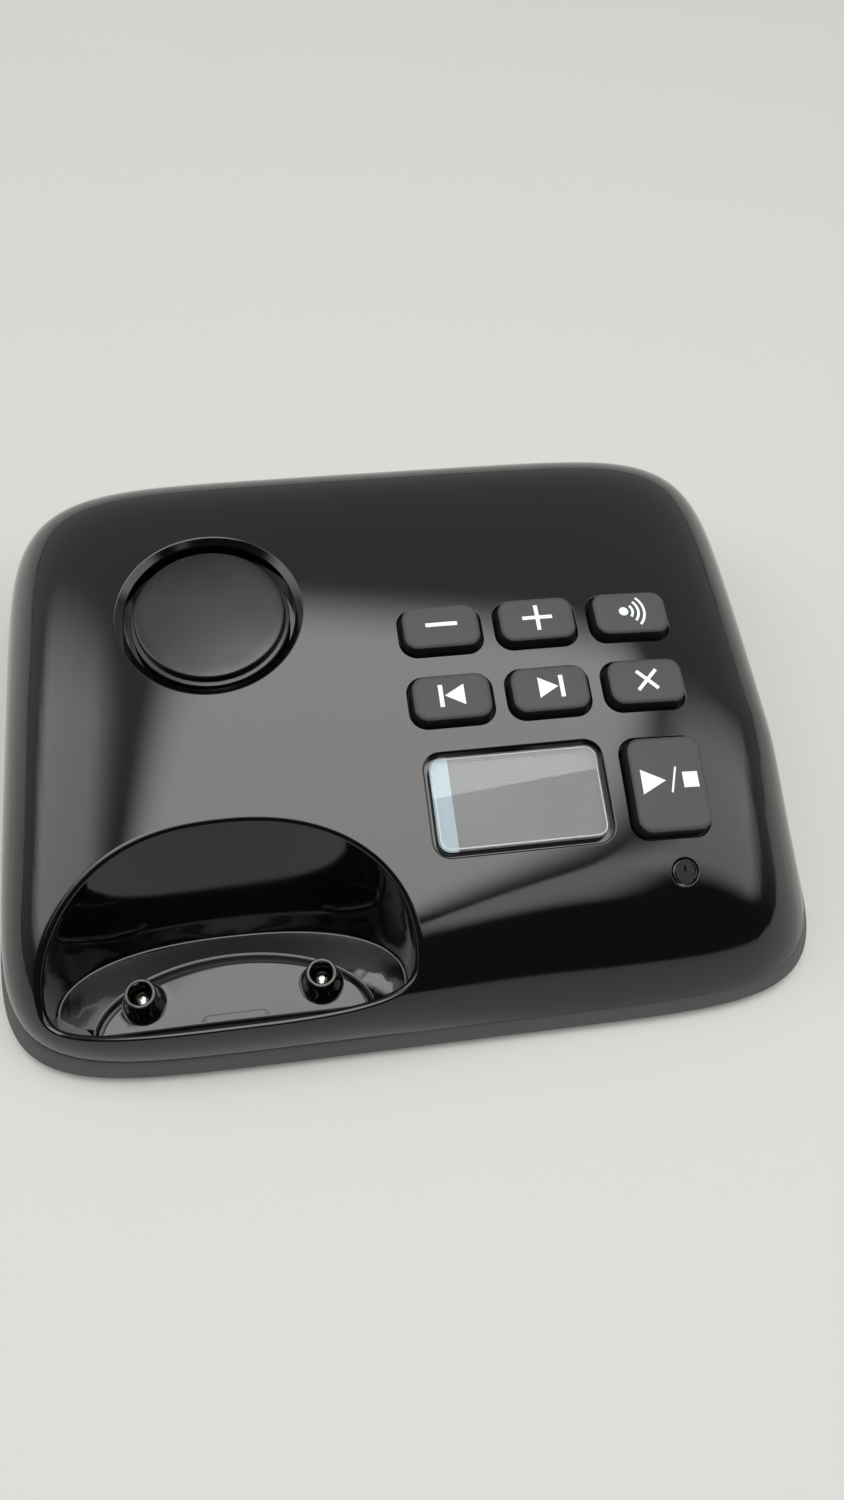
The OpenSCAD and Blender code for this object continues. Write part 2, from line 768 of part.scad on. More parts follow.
module case_screws() color(steel) {
  for (s = screws)
    translate([s[0], s[1], foot_h + head_sink])
      difference() {
        union() {
          cylinder(r1 = head_r - 0.4, r2 = head_r, h = 0.5);
          translate([0, 0, 0.5])
            cylinder(r = head_r, h = head_h - 0.5);
          cylinder(r = screw_r, h = head_h + screw_l - 1);
        }
        cross_slot(3, 1);
      }
}

// ---- loudspeaker ----

module speaker_cover() color(gloss_black) {
  dome_r = (disc_r * disc_r + disc_crown * disc_crown) / (2 * disc_crown);
  leg_h = recess_h - disc_sink - disc_t + 0.2;
  dome = [
    for (r = [0:disc_r / 8:disc_r]) [r, sqrt(dome_r * dome_r - r * r) - dome_r + disc_crown - disc_sink]
  ];
  on_top(speaker_x, speaker_y) {
    rotate_extrude()
      polygon(concat(dome, [
        [disc_r, -disc_sink - disc_t], [skirt_r, -disc_sink - disc_t],
        [skirt_r, -disc_sink - disc_t - 0.7], [skirt_r - 1.4, -disc_sink - disc_t - 0.7],
        [skirt_r - 1.4, -disc_sink - disc_t + 0.2], [0, -disc_sink - disc_t + 0.2]
      ]));
    for (i = [0:2])
      rotate(120 * i + 30)
        translate([8, 0, -recess_h])
          cylinder(r = 0.8, h = leg_h + 0.1, $fn = 24);
    translate([0, 0, -recess_h])
      cylinder(r = 3, h = leg_h + 0.1);
  }
}

module speaker_gasket() color([0.15, 0.15, 0.16]) {
  on_top(speaker_x, speaker_y)
    translate([0, 0, -speaker_front])
      difference() {
        cylinder(r = speaker_r, h = gasket_t);
        translate([0, 0, -1])
          cylinder(r = speaker_r - 2, h = gasket_t + 2);
      }
}

module speaker_frame() color([0.45, 0.45, 0.47]) {
  on_top(speaker_x, speaker_y)
    translate([0, 0, -speaker_front])
      rotate_extrude()
        polygon([
          [speaker_r - 1.6, 0], [speaker_r, 0], [speaker_r, -speaker_rim_t],
          [speaker_r - 1, -speaker_rim_t], [magnet_r + 0.8, -speaker_rim_t - basket_h],
          [3, -speaker_rim_t - basket_h], [3, -basket_h], [magnet_r + 0.3, -basket_h]
        ]);
}

module speaker_cone() color([0.12, 0.12, 0.12]) {
  on_top(speaker_x, speaker_y)
    translate([0, 0, -speaker_front]) {
      rotate_extrude()
        polygon([
          [speaker_r - 2.3, -0.6], [speaker_r - 1.9, -0.2], [speaker_r - 3, -0.2],
          [4, -basket_h + 1.2], [0, -basket_h + 2], [0, -basket_h + 1.7],
          [3.8, -basket_h + 0.8], [speaker_r - 3.1, -0.6]
        ]);
    }
}

module speaker_magnet() color(steel) {
  on_top(speaker_x, speaker_y)
    translate([0, 0, -speaker_front - speaker_rim_t - basket_h - magnet_h]) {
      cylinder(r = magnet_r, h = magnet_h);
      cylinder(r = 2.8, h = magnet_h + basket_h - 2.3);
    }
}

// A tube of a few flat sides swept along points, square at both ends
function unit(v) = v / norm(v);
function path_dir(pts, i) =
  unit(pts[min(i + 1, len(pts) - 1)] - pts[max(i - 1, 0)]);
function side_of(d) = unit(abs(d[2]) > 0.9 ? cross(d, [0, 1, 0]) : cross(d, [0, 0, 1]));
function tube_ring(c, d, r, sides) =
  let (u = side_of(d), v = cross(d, u))
    [for (k = [0:sides - 1]) c + r * (cos(360 * k / sides) * u + sin(360 * k / sides) * v)];

module tube_along(pts, r, sides) {
  ring_solid([for (i = [0:len(pts) - 1]) tube_ring(pts[i], path_dir(pts, i), r, sides)]);
}

// Routes of the loudspeaker's two leads, from its basket straight down to the main board
lead_r = 0.5;
lead_reach = [9.5, -2];
lead_pitch = 2.4;
lead_gap = 0.35;
module speaker_leads() color([0.7, 0.1, 0.1]) {
  for (s = [-0.5, 0.5]) {
    x = speaker_x + lead_reach[0];
    y = speaker_y + lead_reach[1] + lead_pitch * s;
    slope = basket_h / (speaker_r - magnet_r - 1.8);
    out = norm([x - speaker_x, y - speaker_y]);
    start_z = top_z(x, y) - speaker_front - speaker_rim_t - slope * (speaker_r - 1 - out) - lead_r - lead_gap;
    tube_along([
      [x, y, board_top], [x, y, board_top + 2], [x + 0.8, y, board_top + 5],
      [x + 0.8, y, start_z - 4], [x + 0.2, y, start_z - 1.5], [x, y, start_z]
    ], lead_r, 8);
  }
}

// ---- keys ----

module key_block(w, d, r, x, y) {
  stem_end = board_depth(x, y) - key_travel - pill_gap - key_pad_t;
  flange_top = -key_ledge - key_air;
  on_top(x, y) {
    translate([0, 0, flange_top - key_flange_t])
      linear_extrude(key_rise - key_round - flange_top + key_flange_t)
        rounded_rect(w, d, r);
    // rounded top edge in two steps
    translate([0, 0, key_rise - key_round - eps])
      linear_extrude(key_round * 0.6 + eps)
        rounded_rect(w - 0.3 * key_round, d - 0.3 * key_round, r - 0.15 * key_round);
    translate([0, 0, key_rise - 0.4 * key_round - eps])
      linear_extrude(0.4 * key_round + eps)
        rounded_rect(w - 1.2 * key_round, d - 1.2 * key_round, r - 0.6 * key_round);
    translate([0, 0, flange_top - key_flange_t])
      linear_extrude(key_flange_t)
        rounded_rect(w + 2 * key_flange, d + 2 * key_flange, r + key_flange);
    translate([0, 0, -stem_end])
      cylinder(r = pill_r, h = stem_end + flange_top);
  }
}

module small_key(i) {
  key_block(key_w, key_d, key_corner, key_place(i)[0], key_place(i)[1]);
}

module key_volume_down() color(key_grey) small_key(0);
module key_volume_up() color(key_grey) small_key(1);
module key_page() color(key_grey) small_key(2);
module key_previous() color(key_grey) small_key(3);
module key_next() color(key_grey) small_key(4);
module key_delete() color(key_grey) small_key(5);
module key_play_stop() color(key_grey) key_block(play_w, play_d, key_corner, play_x, play_y);

// Place of a key on the key board, in the board's own plane
function on_board(p) =
  let (hit = [p[0], p[1], top_z(p[0], p[1])] - normal_at(p[0], p[1]) * board_depth(p[0], p[1]))
    [hit[0] - board_origin[0], (hit[1] - board_origin[1]) / cos(board_slope)];

module mic_notch(r) {
  c = on_board([mic_x, mic_y]);
  translate([c[0], c[1]])
    circle(r);
}

module keypad_mat() color([0.22, 0.22, 0.23]) {
  mat_edge = 0.7;
  mat_left = on_board(key_places[0])[0] - key_w / 2 - mat_edge;
  mat_back = key_board_l / 2 - 1;
  mat_front = on_board([window_x, window_y])[1] + window_d / 2 + 1.5;
  play = on_board([play_x, play_y]);
  on_key_board()
    linear_extrude(mat_t)
      difference() {
        union() {
          translate([mat_left, mat_front])
            square([2 * key_pitch_x + key_w + 2 * mat_edge, mat_back - mat_front]);
          translate([play[0] - play_w / 2 - 0.6, play[1] - play_d / 2 + 1])
            square([play_w + 1.2, mat_front - play[1] + play_d / 2]);
        }
        for (p = key_places)
          translate(on_board(p))
            circle(pill_r + 0.5);
        mic_notch(capsule_r + boot_t + 2.2);
      }
}

module key_board() color(board_green) {
  on_key_board()
    translate([0, 0, -key_board_t])
      linear_extrude(key_board_t)
        difference() {
          square([key_board_w, key_board_l], center = true);
          mic_notch(capsule_r + boot_t + 2);
          for (c = key_board_corners)
            translate(c)
              circle(small_screw_r + 0.1, $fn = 24);
        }
}

module key_contacts() color(gold) {
  on_key_board()
    for (p = key_places)
      translate(on_board(p))
        cylinder(r = key_pad_r, h = key_pad_t);
}

module key_board_screws() color(steel) {
  on_key_board()
    for (c = key_board_corners)
      translate([c[0], c[1], -key_board_t]) {
        translate([0, 0, -1])
          cylinder(r = 1.7, h = 1);
        cylinder(r = small_screw_r, h = 3.4, $fn = 24);
      }
}

// ---- display ----

lens_w = window_w - 2 * lens_fit;
lens_d = window_d - 2 * lens_fit;
lens_corner = window_corner - lens_fit;
lens_bevel = 0.4;
module display_lens() color([0.55, 0.6, 0.65, 0.4]) {
  on_top(window_x, window_y) {
    translate([0, 0, -lens_t])
      linear_extrude(lens_t - lens_bevel)
        rounded_rect(lens_w, lens_d, lens_corner);
    translate([0, 0, -lens_bevel - eps])
      linear_extrude(0.5 * lens_bevel + eps)
        rounded_rect(lens_w - 0.3, lens_d - 0.3, lens_corner - 0.15);
    translate([0, 0, -0.5 * lens_bevel - eps])
      linear_extrude(0.5 * lens_bevel + eps)
        rounded_rect(lens_w - 1, lens_d - 1, lens_corner - 0.5);
  }
}

// Printed sheet behind the lens: a pale strip at the left, the dark face over the rest
strip_edge = -lens_w / 2 + strip_w;
sheet_cut = 0.02;
module display_face() color([0.03, 0.03, 0.035]) {
  on_top(window_x, window_y)
    translate([0, 0, -lens_t - face_t])
      linear_extrude(face_t)
        difference() {
          rounded_rect(lens_w, lens_d, lens_corner);
          translate([strip_edge - lens_w, -lens_d])
            square([lens_w, 2 * lens_d]);
        }
}

module display_strip() color([0.6, 0.75, 0.9]) {
  on_top(window_x, window_y)
    translate([0, 0, -lens_t - face_t])
      linear_extrude(face_t)
        difference() {
          rounded_rect(lens_w, lens_d, lens_corner);
          translate([strip_edge - sheet_cut, -lens_d])
            square([lens_w, 2 * lens_d]);
        }
}

// The display stands on the key board and reaches through the ledge to its face
module display_module() color([0.85, 0.85, 0.82]) {
  w = window_w - 2 * ledge_w - 0.6;
  d = window_d - 2 * ledge_w - 0.6;
  difference() {
    on_top(window_x, window_y)
      translate([-w / 2, -d / 2, -lens_t - face_t - key_board_depth])
        cube([w, d, key_board_depth]);
    on_key_board()
      translate([-body_w, -body_d, -body_d])
        cube([2 * body_w, 2 * body_d, body_d]);
  }
}

// ---- charging contacts ----

module contact_carrier() color(gloss_black) {
  floor_under = well_floor_z - well_floor_t;
  body_bottom = floor_under - carrier_flange_t;
  crown_r = 45;
  difference() {
    union() {
      intersection() {
        translate([0, 0, floor_under - eps])
          linear_extrude(carrier_top - floor_under + eps)
            carrier_outline(0);
        translate([well_x - body_w / 2, contact_y + 1, carrier_top - crown_r])
          rotate([0, 90, 0])
            cylinder(r = crown_r, h = body_w, $fn = 180);
      }
      translate([0, 0, body_bottom])
        linear_extrude(carrier_flange_t)
          intersection() {
            carrier_outline(carrier_flange);
            polygon(outline(side_draft + wall_t + 2 * lip_fit));
          }
      for (c = contact_places)
        translate([c[0], c[1], carrier_top - 1])
          cylinder(r1 = post_foot_r + 0.1, r2 = post_rim_r, h = post_h + 1);
    }
    for (c = contact_places) {
      translate([c[0], c[1], 0])
        cylinder(r = post_bore_r, h = 3 * carrier_top);
      translate([c[0], c[1], 0])
        cylinder(r = collar_r + 0.3, h = carrier_top - carrier_top_t);
    }
    // slit round the snap tab
    translate([well_x - tab_w / 2, carrier_y - 1, 0])
      difference() {
        cube([tab_w, tab_d + 1, 3 * carrier_top]);
        translate([tab_slit, -1, -1])
          cube([tab_w - 2 * tab_slit, tab_d + 2 - tab_slit, 4 * carrier_top]);
      }
  }
}

module contact_pin(c) {
  tip = post_top - pin_recess;
  r = post_bore_r - pin_fit;
  round_r = 0.9 * r;
  translate([c[0], c[1], 0])
    rotate_extrude()
      polygon(concat(
        [
          [0, collar_top - collar_t], [collar_r, collar_top - collar_t],
          [collar_r, collar_top], [r, collar_top], [r, tip - round_r]
        ],
        [for (a = [15:15:90]) [r * cos(a), tip - round_r + round_r * sin(a)]]
      ));
}

module contact_pin_left() color(steel) contact_pin(contact_places[0]);
module contact_pin_right() color(steel) contact_pin(contact_places[1]);

// A coil of round wire, one unbroken tube with a flat first and last part turn
module contact_spring(c) {
  low = board_top + contact_pad_t + spring_wire / 2 + 0.02;
  high = collar_top - collar_t - spring_wire / 2 - 0.02;
  steps = 14;
  count = round(spring_turns * steps);
  tube_along(
    [for (i = [0:count])
      [
        c[0] + spring_r * cos(360 * i / steps),
        c[1] + spring_r * sin(360 * i / steps),
        low + (high - low) * i / count
      ]],
    spring_wire / 2, 6
  );
}

contact_pad_t = 0.05;
module contact_spring_left() color(steel) contact_spring(contact_places[0]);
module contact_spring_right() color(steel) contact_spring(contact_places[1]);

module contact_pads() color(gold) {
  for (c = contact_places)
    translate([c[0], c[1], board_top])
      cylinder(r = spring_r + 0.8, h = contact_pad_t);
}

// ---- microphone ----

module microphone_boot() color([0.05, 0.05, 0.055]) {
  on_top(mic_x, mic_y)
    difference() {
      union() {
        translate([0, 0, -wall_t - eps])
          cylinder(r = nose_r, h = wall_t + eps);
        translate([0, 0, -mic_boss_h + 0.2])
          cylinder(r = capsule_r + boot_t, h = mic_boss_h - 0.2 - wall_t);
      }
      translate([0, 0, -mic_boss_h - 1])
        cylinder(r = capsule_r, h = mic_boss_h + 1 - mic_seat);
      translate([0, pinhole_off, -mic_seat - 1])
        cylinder(r = pinhole_r, h = mic_seat + 3, $fn = 24);
    }
}

module microphone_capsule() color(steel) {
  on_top(mic_x, mic_y)
    translate([0, 0, -mic_seat - capsule_h])
      cylinder(r = capsule_r - 0.03, h = capsule_h);
}

// ---- main board and what stands on it ----

module main_board() color(board_green) {
  translate([0, 0, board_bottom])
    linear_extrude(board_t)
      difference() {
        rounded_rect(board_w, board_d, board_corner);
        for (s = screws)
          translate(s)
            circle(boss_r + 0.6);
        for (s = main_screws)
          translate(s)
            circle(small_screw_r + 0.1, $fn = 24);
      }
}

module main_board_screws() color(steel) {
  for (s = main_screws)
    translate([s[0], s[1], board_top]) {
      difference() {
        cylinder(r = 1.9, h = 1.2);
        translate([0, 0, 0.5])
          cross_slot(2.4, 1);
      }
      translate([0, 0, -board_t - board_stand - 1])
        cylinder(r = small_screw_r, h = board_t + board_stand + 1 + eps, $fn = 24);
    }
}

// Places on the main board: the shield can lies under the key board, the rest by the board's edges
shield_place = [key_board_x - 10.35, key_board_y - 12.4];
shield_size = [30, 22, 3];
sheet_t = 0.3;
chips = [[14, 12, 10, 10, 1], [25, 14, 8, 6, 1], [-12, 20, 6, 5, 1.2],
  [shield_place[0] + 5, shield_place[1] + 4, 7, 7, 0.9]];
cans = [[board_w / 2 - 11, 24, 3.2, 8], [board_w / 2 - 11, 16, 2.5, 6], [-4, 12, 2.5, 6]];
antenna_h = 9;
antenna_l = 14;
antenna_places = [[3 - board_w / 2, 14], [board_w / 2 - 5, -14]];
crystal_size = [9, 4, 3];
crystal_place = [2, -6];

module shield_can() color(steel) {
  translate([shield_place[0], shield_place[1], board_top])
    difference() {
      cube(shield_size);
      translate([sheet_t, sheet_t, -1])
        cube(shield_size - [2 * sheet_t, 2 * sheet_t, sheet_t - 1]);
    }
}

module processor_chips() color([0.06, 0.06, 0.06]) {
  for (c = chips)
    translate([c[0], c[1], board_top])
      cube([c[2], c[3], c[4]]);
}

module capacitors() color([0.15, 0.15, 0.3]) {
  for (c = cans)
    translate([c[0], c[1], board_top])
      difference() {
        cylinder(r = c[2], h = c[3]);
        translate([0, 0, c[3] - 0.3])
          cross_slot(2 * c[2] - 1, 1);
      }
}

module antennas() color(steel) {
  t = 2 * sheet_t;
  for (s = antenna_places)
    translate([s[0], s[1], board_top]) {
      cube([t, 3, antenna_h]);
      translate([0, 0, antenna_h - t])
        cube([t, antenna_l, t]);
      translate([0, antenna_l - 2, 0])
        cube([t, 2, antenna_h]);
    }
}

module crystal() color(steel) {
  translate([crystal_place[0], crystal_place[1], board_top])
    linear_extrude(crystal_size[2])
      rounded_rect(crystal_size[0], crystal_size[1], crystal_size[1] / 2 - 0.1);
}

// ---- sockets ----

socket_face = half_d - socket_sink;
module line_socket() color([0.08, 0.08, 0.08]) {
  plug_z = 2.6;
  translate([line_x, socket_face, board_top])
    difference() {
      translate([-line_w / 2, -line_l, 0])
        cube([line_w, line_l, line_h]);
      translate([-plug_w / 2, -plug_l, plug_z])
        cube([plug_w, plug_l + 1, plug_h]);
      translate([-latch_w / 2, -plug_l, plug_z - 1.6])
        cube([latch_w, plug_l + 1, 2]);
    }
}

module line_socket_wires() color(gold) {
  wire = 0.45;
  pitch = 1.2;
  roof = board_top + 2.6 + plug_h;
  for (i = [0:3])
    translate([line_x + (i - 1.5) * pitch - wire / 2, socket_face - plug_l, roof - wire])
      union() {
        cube([wire, 8, wire]);
        translate([0, 8 - wire, -1])
          cube([wire, wire, 1 + eps]);
      }
}

module power_socket() color([0.08, 0.08, 0.08]) {
  bore_z = power_h / 2;
  translate([power_x, socket_face, board_top])
    difference() {
      translate([-power_w / 2, -power_l, 0])
        cube([power_w, power_l, power_h]);
      translate([0, 1, bore_z])
        rotate([90, 0, 0])
          cylinder(r = power_bore_r, h = power_bore_l + 1);
    }
}

module power_socket_pin() color(steel) {
  translate([power_x, socket_face - power_bore_l, board_top + power_h / 2])
    rotate([-90, 0, 0]) {
      cylinder(r = power_pin_r, h = power_bore_l - 1.5);
      translate([0, 0, power_bore_l - 1.5])
        sphere(power_pin_r, $fn = 32);
    }
}

// ---- ribbon cable between the boards ----

ribbon_w = 12;
ribbon_t = 0.4;
ribbon_at = [key_board_x - 0.35, key_board_y + 11.6];
connector_size = [15, 3.4, 2.4];
ribbon_low = board_top + connector_size[2];
ribbon_high = board_origin[2]
  + (ribbon_at[1] - ribbon_t / 2 - board_origin[1]) * tan(board_slope)
  - (key_board_t + connector_size[2]) / cos(board_slope);
module ribbon_cable() color([0.85, 0.85, 0.85]) {
  translate([ribbon_at[0] - ribbon_w / 2, ribbon_at[1] - ribbon_t / 2, ribbon_low])
    cube([ribbon_w, ribbon_t, ribbon_high - ribbon_low]);
}

module ribbon_connectors() color([0.9, 0.88, 0.8]) {
  translate([ribbon_at[0] - connector_size[0] / 2, ribbon_at[1] - connector_size[1] / 2, board_top])
    cube(connector_size);
  on_key_board() {
    x = ribbon_at[0] - board_origin[0] - connector_size[0] / 2;
    y = (ribbon_at[1] - board_origin[1]) / cos(board_slope) - 2.2;
    translate([x, y, -key_board_t - connector_size[2]])
      cube(connector_size);
  }
}

top_cover();
bottom_cover();
rubber_feet();
case_screws();
speaker_cover();
speaker_gasket();
speaker_frame();
speaker_cone();
speaker_magnet();
speaker_leads();
key_volume_down();
key_volume_up();
key_page();
key_previous();
key_next();
key_delete();
key_play_stop();
keypad_mat();
key_board();
key_contacts();
key_board_screws();
display_lens();
display_strip();
display_face();
display_module();
contact_carrier();
contact_pin_left();
contact_pin_right();
contact_spring_left();
contact_spring_right();
contact_pads();
microphone_boot();
microphone_capsule();
main_board();
main_board_screws();
shield_can();
processor_chips();
capacitors();
antennas();
crystal();
line_socket();
line_socket_wires();
power_socket();
power_socket_pin();
ribbon_cable();
ribbon_connectors();
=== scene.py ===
# %% [markdown]
# # A glossy black telephone answering base
# The object is a low desk base, like a flat polished pebble. Its top cover holds a well
# that charges the handset, a round speaker cover, seven soft keys and a small display.
# Every piece stands in one shared frame with the solid model: metres in Blender,
# millimetres in the numbers of this file, +X right, +Y to the back, +Z up.

# %% Load the frame
import bpy
import bmesh
import math
import numpy as np
from mathutils import Vector, Matrix
from mathutils.geometry import delaunay_2d_cdt


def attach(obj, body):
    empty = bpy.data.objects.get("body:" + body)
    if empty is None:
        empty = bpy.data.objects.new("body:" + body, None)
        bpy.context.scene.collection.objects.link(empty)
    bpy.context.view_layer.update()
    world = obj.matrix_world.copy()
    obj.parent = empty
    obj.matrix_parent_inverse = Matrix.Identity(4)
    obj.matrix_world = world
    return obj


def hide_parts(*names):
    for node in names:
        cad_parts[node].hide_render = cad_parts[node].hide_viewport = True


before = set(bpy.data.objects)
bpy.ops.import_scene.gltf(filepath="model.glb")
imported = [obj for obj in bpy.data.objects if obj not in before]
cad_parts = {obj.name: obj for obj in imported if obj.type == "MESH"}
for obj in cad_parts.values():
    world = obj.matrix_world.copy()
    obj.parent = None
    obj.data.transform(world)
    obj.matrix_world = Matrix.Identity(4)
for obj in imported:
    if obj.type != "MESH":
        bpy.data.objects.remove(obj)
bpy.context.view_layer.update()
MM = 0.001

# %% [markdown]
# The camera comes first, because every later choice is judged through it. Its place was
# worked out from the photograph by fitting the outline, the key rows and the window.

# %% Camera
camera_data = bpy.data.cameras.new("camera")
camera_data.sensor_fit = "VERTICAL"
camera_data.sensor_height = 36.0
camera_data.lens = 27.688
camera_data.clip_start = 0.01
camera = bpy.data.objects.new("camera", camera_data)
bpy.context.scene.collection.objects.link(camera)
camera_axes = (Vector((0.98830, -0.14039, 0.05967)), Vector((0.09209, 0.86095, 0.50029)),
               Vector((-0.12160, -0.48894, 0.86380)))
camera.matrix_world = (Matrix.Translation(Vector((-18.903, -96.802, 173.018)) * MM)
                       @ Matrix([[a[i] for a in camera_axes] for i in range(3)]).to_4x4())
bpy.context.scene.camera = camera
print("camera at", tuple(round(c, 3) for c in camera.location), "lens", camera_data.lens)

# %% [markdown]
# The cover's shape is one formula: an arched, slightly rising top that rolls over into its
# sides, inside a squared oval outline. The solid model uses the same formula. Here the roll
# is also made softer towards the front right, where the photograph shows the polished side
# leaning like a dome down to the seam. A formula also gives the exact slope at each point,
# which a polished black surface needs: small errors in its normals show as dents.

# %% The shape of the housing
HALF_W, HALF_D = 64.0, 50.5  # half the width and depth
SEAM, DRAFT = 4.8, 1.3  # height of the seam, and how far it stands in from the foot
COVER_A, COVER_B = HALF_W - DRAFT, HALF_D - DRAFT
SQUARE, FULL = 7.0, 7.5  # powers: squareness of the outline, fullness of the shoulder
CROWN, RISE, SIDE_DROP, END_DROP = 28.0, 0.11, 0.5, 4.5
SOFTER = 0.4  # how much softer the roll gets at the front right


def crown(x, y):
    """Height of the arched top, before it rolls over."""
    return CROWN + RISE * y - SIDE_DROP * (x / HALF_W) ** 2 - END_DROP * (y / HALF_D) ** 2


def spread(x, y):
    """0 in the middle and 1 on the outline; its root of order SQUARE grows evenly."""
    return np.abs(x / COVER_A) ** SQUARE + np.abs(y / COVER_B) ** SQUARE


def ease(value, start, end):
    """A smooth step from 0 to 1 and its slope."""
    t = np.clip((value - start) / (end - start), 0.0, 1.0)
    return t * t * (3 - 2 * t), 6 * t * (1 - t) / (end - start)


def shoulder(x, y):
    """The power of the roll at the cover's edge, and its slopes. Half is an upright side; near
    one, at the front right, the side leans like a dome."""
    right, right_x = ease(x, -14.0, 24.0)
    ahead, ahead_y = ease(y, -8.0, -36.0)
    return 0.5 + SOFTER * right * ahead, SOFTER * right_x * ahead, SOFTER * right * ahead_y


def cover_top(x, y):
    """Height of the cover over the table."""
    full = np.clip(1.0 - (spread(x, y) ** (1 / SQUARE)) ** FULL, 0.0, 1.0)
    return SEAM + (crown(x, y) - SEAM) * full ** shoulder(x, y)[0]


def cover_normal(p):
    """Outward unit normals at points on the cover, from the exact gradient.
    It is scaled by a power of the height fraction, so it stays finite at an upright seam."""
    x, y, z = p.T
    s = spread(x, y)
    q = FULL / SQUARE
    rise = crown(x, y) - SEAM
    rise_x = -2 * SIDE_DROP * x / HALF_W ** 2
    rise_y = RISE - 2 * END_DROP * y / HALF_D ** 2
    full = np.clip(1.0 - s ** q, 0.0, 1.0)
    ds = q * np.maximum(s, 1e-12) ** (q - 1)
    s_x = SQUARE * np.sign(x) * np.abs(x / COVER_A) ** (SQUARE - 1) / COVER_A
    s_y = SQUARE * np.sign(y) * np.abs(y / COVER_B) ** (SQUARE - 1) / COVER_B
    power, power_x, power_y = shoulder(x, y)
    fading = full * np.log(np.maximum(full, 1e-12))
    n = np.stack([
        rise * (power * ds * s_x - power_x * fading) - rise_x * full,
        rise * (power * ds * s_y - power_y * fading) - rise_y * full,
        np.clip((z - SEAM) / rise, 0.0, 1.0) ** ((1 - power) / power),
    ], axis=1)
    return n / np.linalg.norm(n, axis=1, keepdims=True)


print("height at the middle of the cover:", round(float(cover_top(0, 0)), 2), "mm")

# %% [markdown]
# A hole in a curved skin is easiest to mesh on a flat drawing. The skin is unrolled like a
# rubber sheet: each point slides outward until its distance from the middle is the length
# measured over the surface. There the sheet is filled with even triangles, and then every
# point goes back to its true place. Straight from above, the steep sides would get slivers.

# %% Unrolling the cover
MEAN_REACH, MEAN_HEIGHT = 52.0, 21.0
rho_low = np.linspace(0, 0.8, 200)
full_low = np.sqrt(1 - rho_low ** FULL)
full_high = np.linspace(full_low[-1], 0, 400)[1:]
rho_all = np.concatenate([rho_low, (1 - full_high ** 2) ** (1 / FULL)])
full_all = np.concatenate([full_low, full_high])
steps = np.hypot(np.diff(rho_all) * MEAN_REACH, np.diff(full_all) * MEAN_HEIGHT)
flat_all = np.concatenate([[0], np.cumsum(steps)]) / MEAN_REACH


def unroll(p):
    """Places on the flat drawing of points on the cover."""
    x, y, z = p.T
    rho = spread(x, y) ** (1 / SQUARE)
    # near the seam the height says more than the reach does
    full = np.clip((z - SEAM) / (crown(x, y) - SEAM), 0, 1) ** (0.5 / shoulder(x, y)[0])
    by_height = np.interp(-full, -full_all, flat_all)
    by_reach = np.interp(rho, rho_all, flat_all)
    k = np.where(rho > 0.8, by_height, by_reach) / np.maximum(rho, 1e-9)
    return p[:, :2] * k[:, None]


def roll_back(q):
    """Points on the cover, and their normals, from places on the flat drawing."""
    flat = spread(q[:, 0], q[:, 1]) ** (1 / SQUARE)
    xy = q * (np.interp(flat, flat_all, rho_all) / np.maximum(flat, 1e-9))[:, None]
    x, y = xy.T
    full = np.interp(flat, flat_all, full_all)
    p = np.column_stack([xy, SEAM + (crown(x, y) - SEAM) * full ** (2 * shoulder(x, y)[0])])
    return p, cover_normal(p)


print("the unrolled sheet reaches", round(flat_all[-1], 3), "times as far as the outline")

# %% [markdown]
# Three small tools do most of the modelling. `Skin` collects points, normals and faces of one
# piece. `Skin.band` joins two loops of points, which makes walls, fillets and lathe work, and
# `Skin.patch` fills a flat drawing between loops with triangles. They replace primitives and
# modifiers here, because lips and walls have to meet the formula's surface exactly.

# %% Points, bands and patches
UP = (0.0, 0.0, 1.0)


def at_height(loop, z):
    """Level points (x, y) raised to a height."""
    return np.column_stack([loop, np.broadcast_to(z, len(loop))])


def inside(points, loop):
    """Which points lie inside a closed loop, by counting crossings."""
    x, y = points[:, 0][:, None], points[:, 1][:, None]
    x1, y1 = loop[:, 0][None, :], loop[:, 1][None, :]
    x2, y2 = np.roll(x1, -1, axis=1), np.roll(y1, -1, axis=1)
    crosses = ((y1 > y) != (y2 > y)) & (x < (x2 - x1) * (y - y1) / (y2 - y1 + 1e-30) + x1)
    return crosses.sum(axis=1) % 2 == 1


def within(points, outer, holes):
    """Which points lie inside the outer loop and in none of the holes."""
    keep = inside(points, outer)
    for hole in holes:
        keep &= ~inside(points, hole)
    return keep


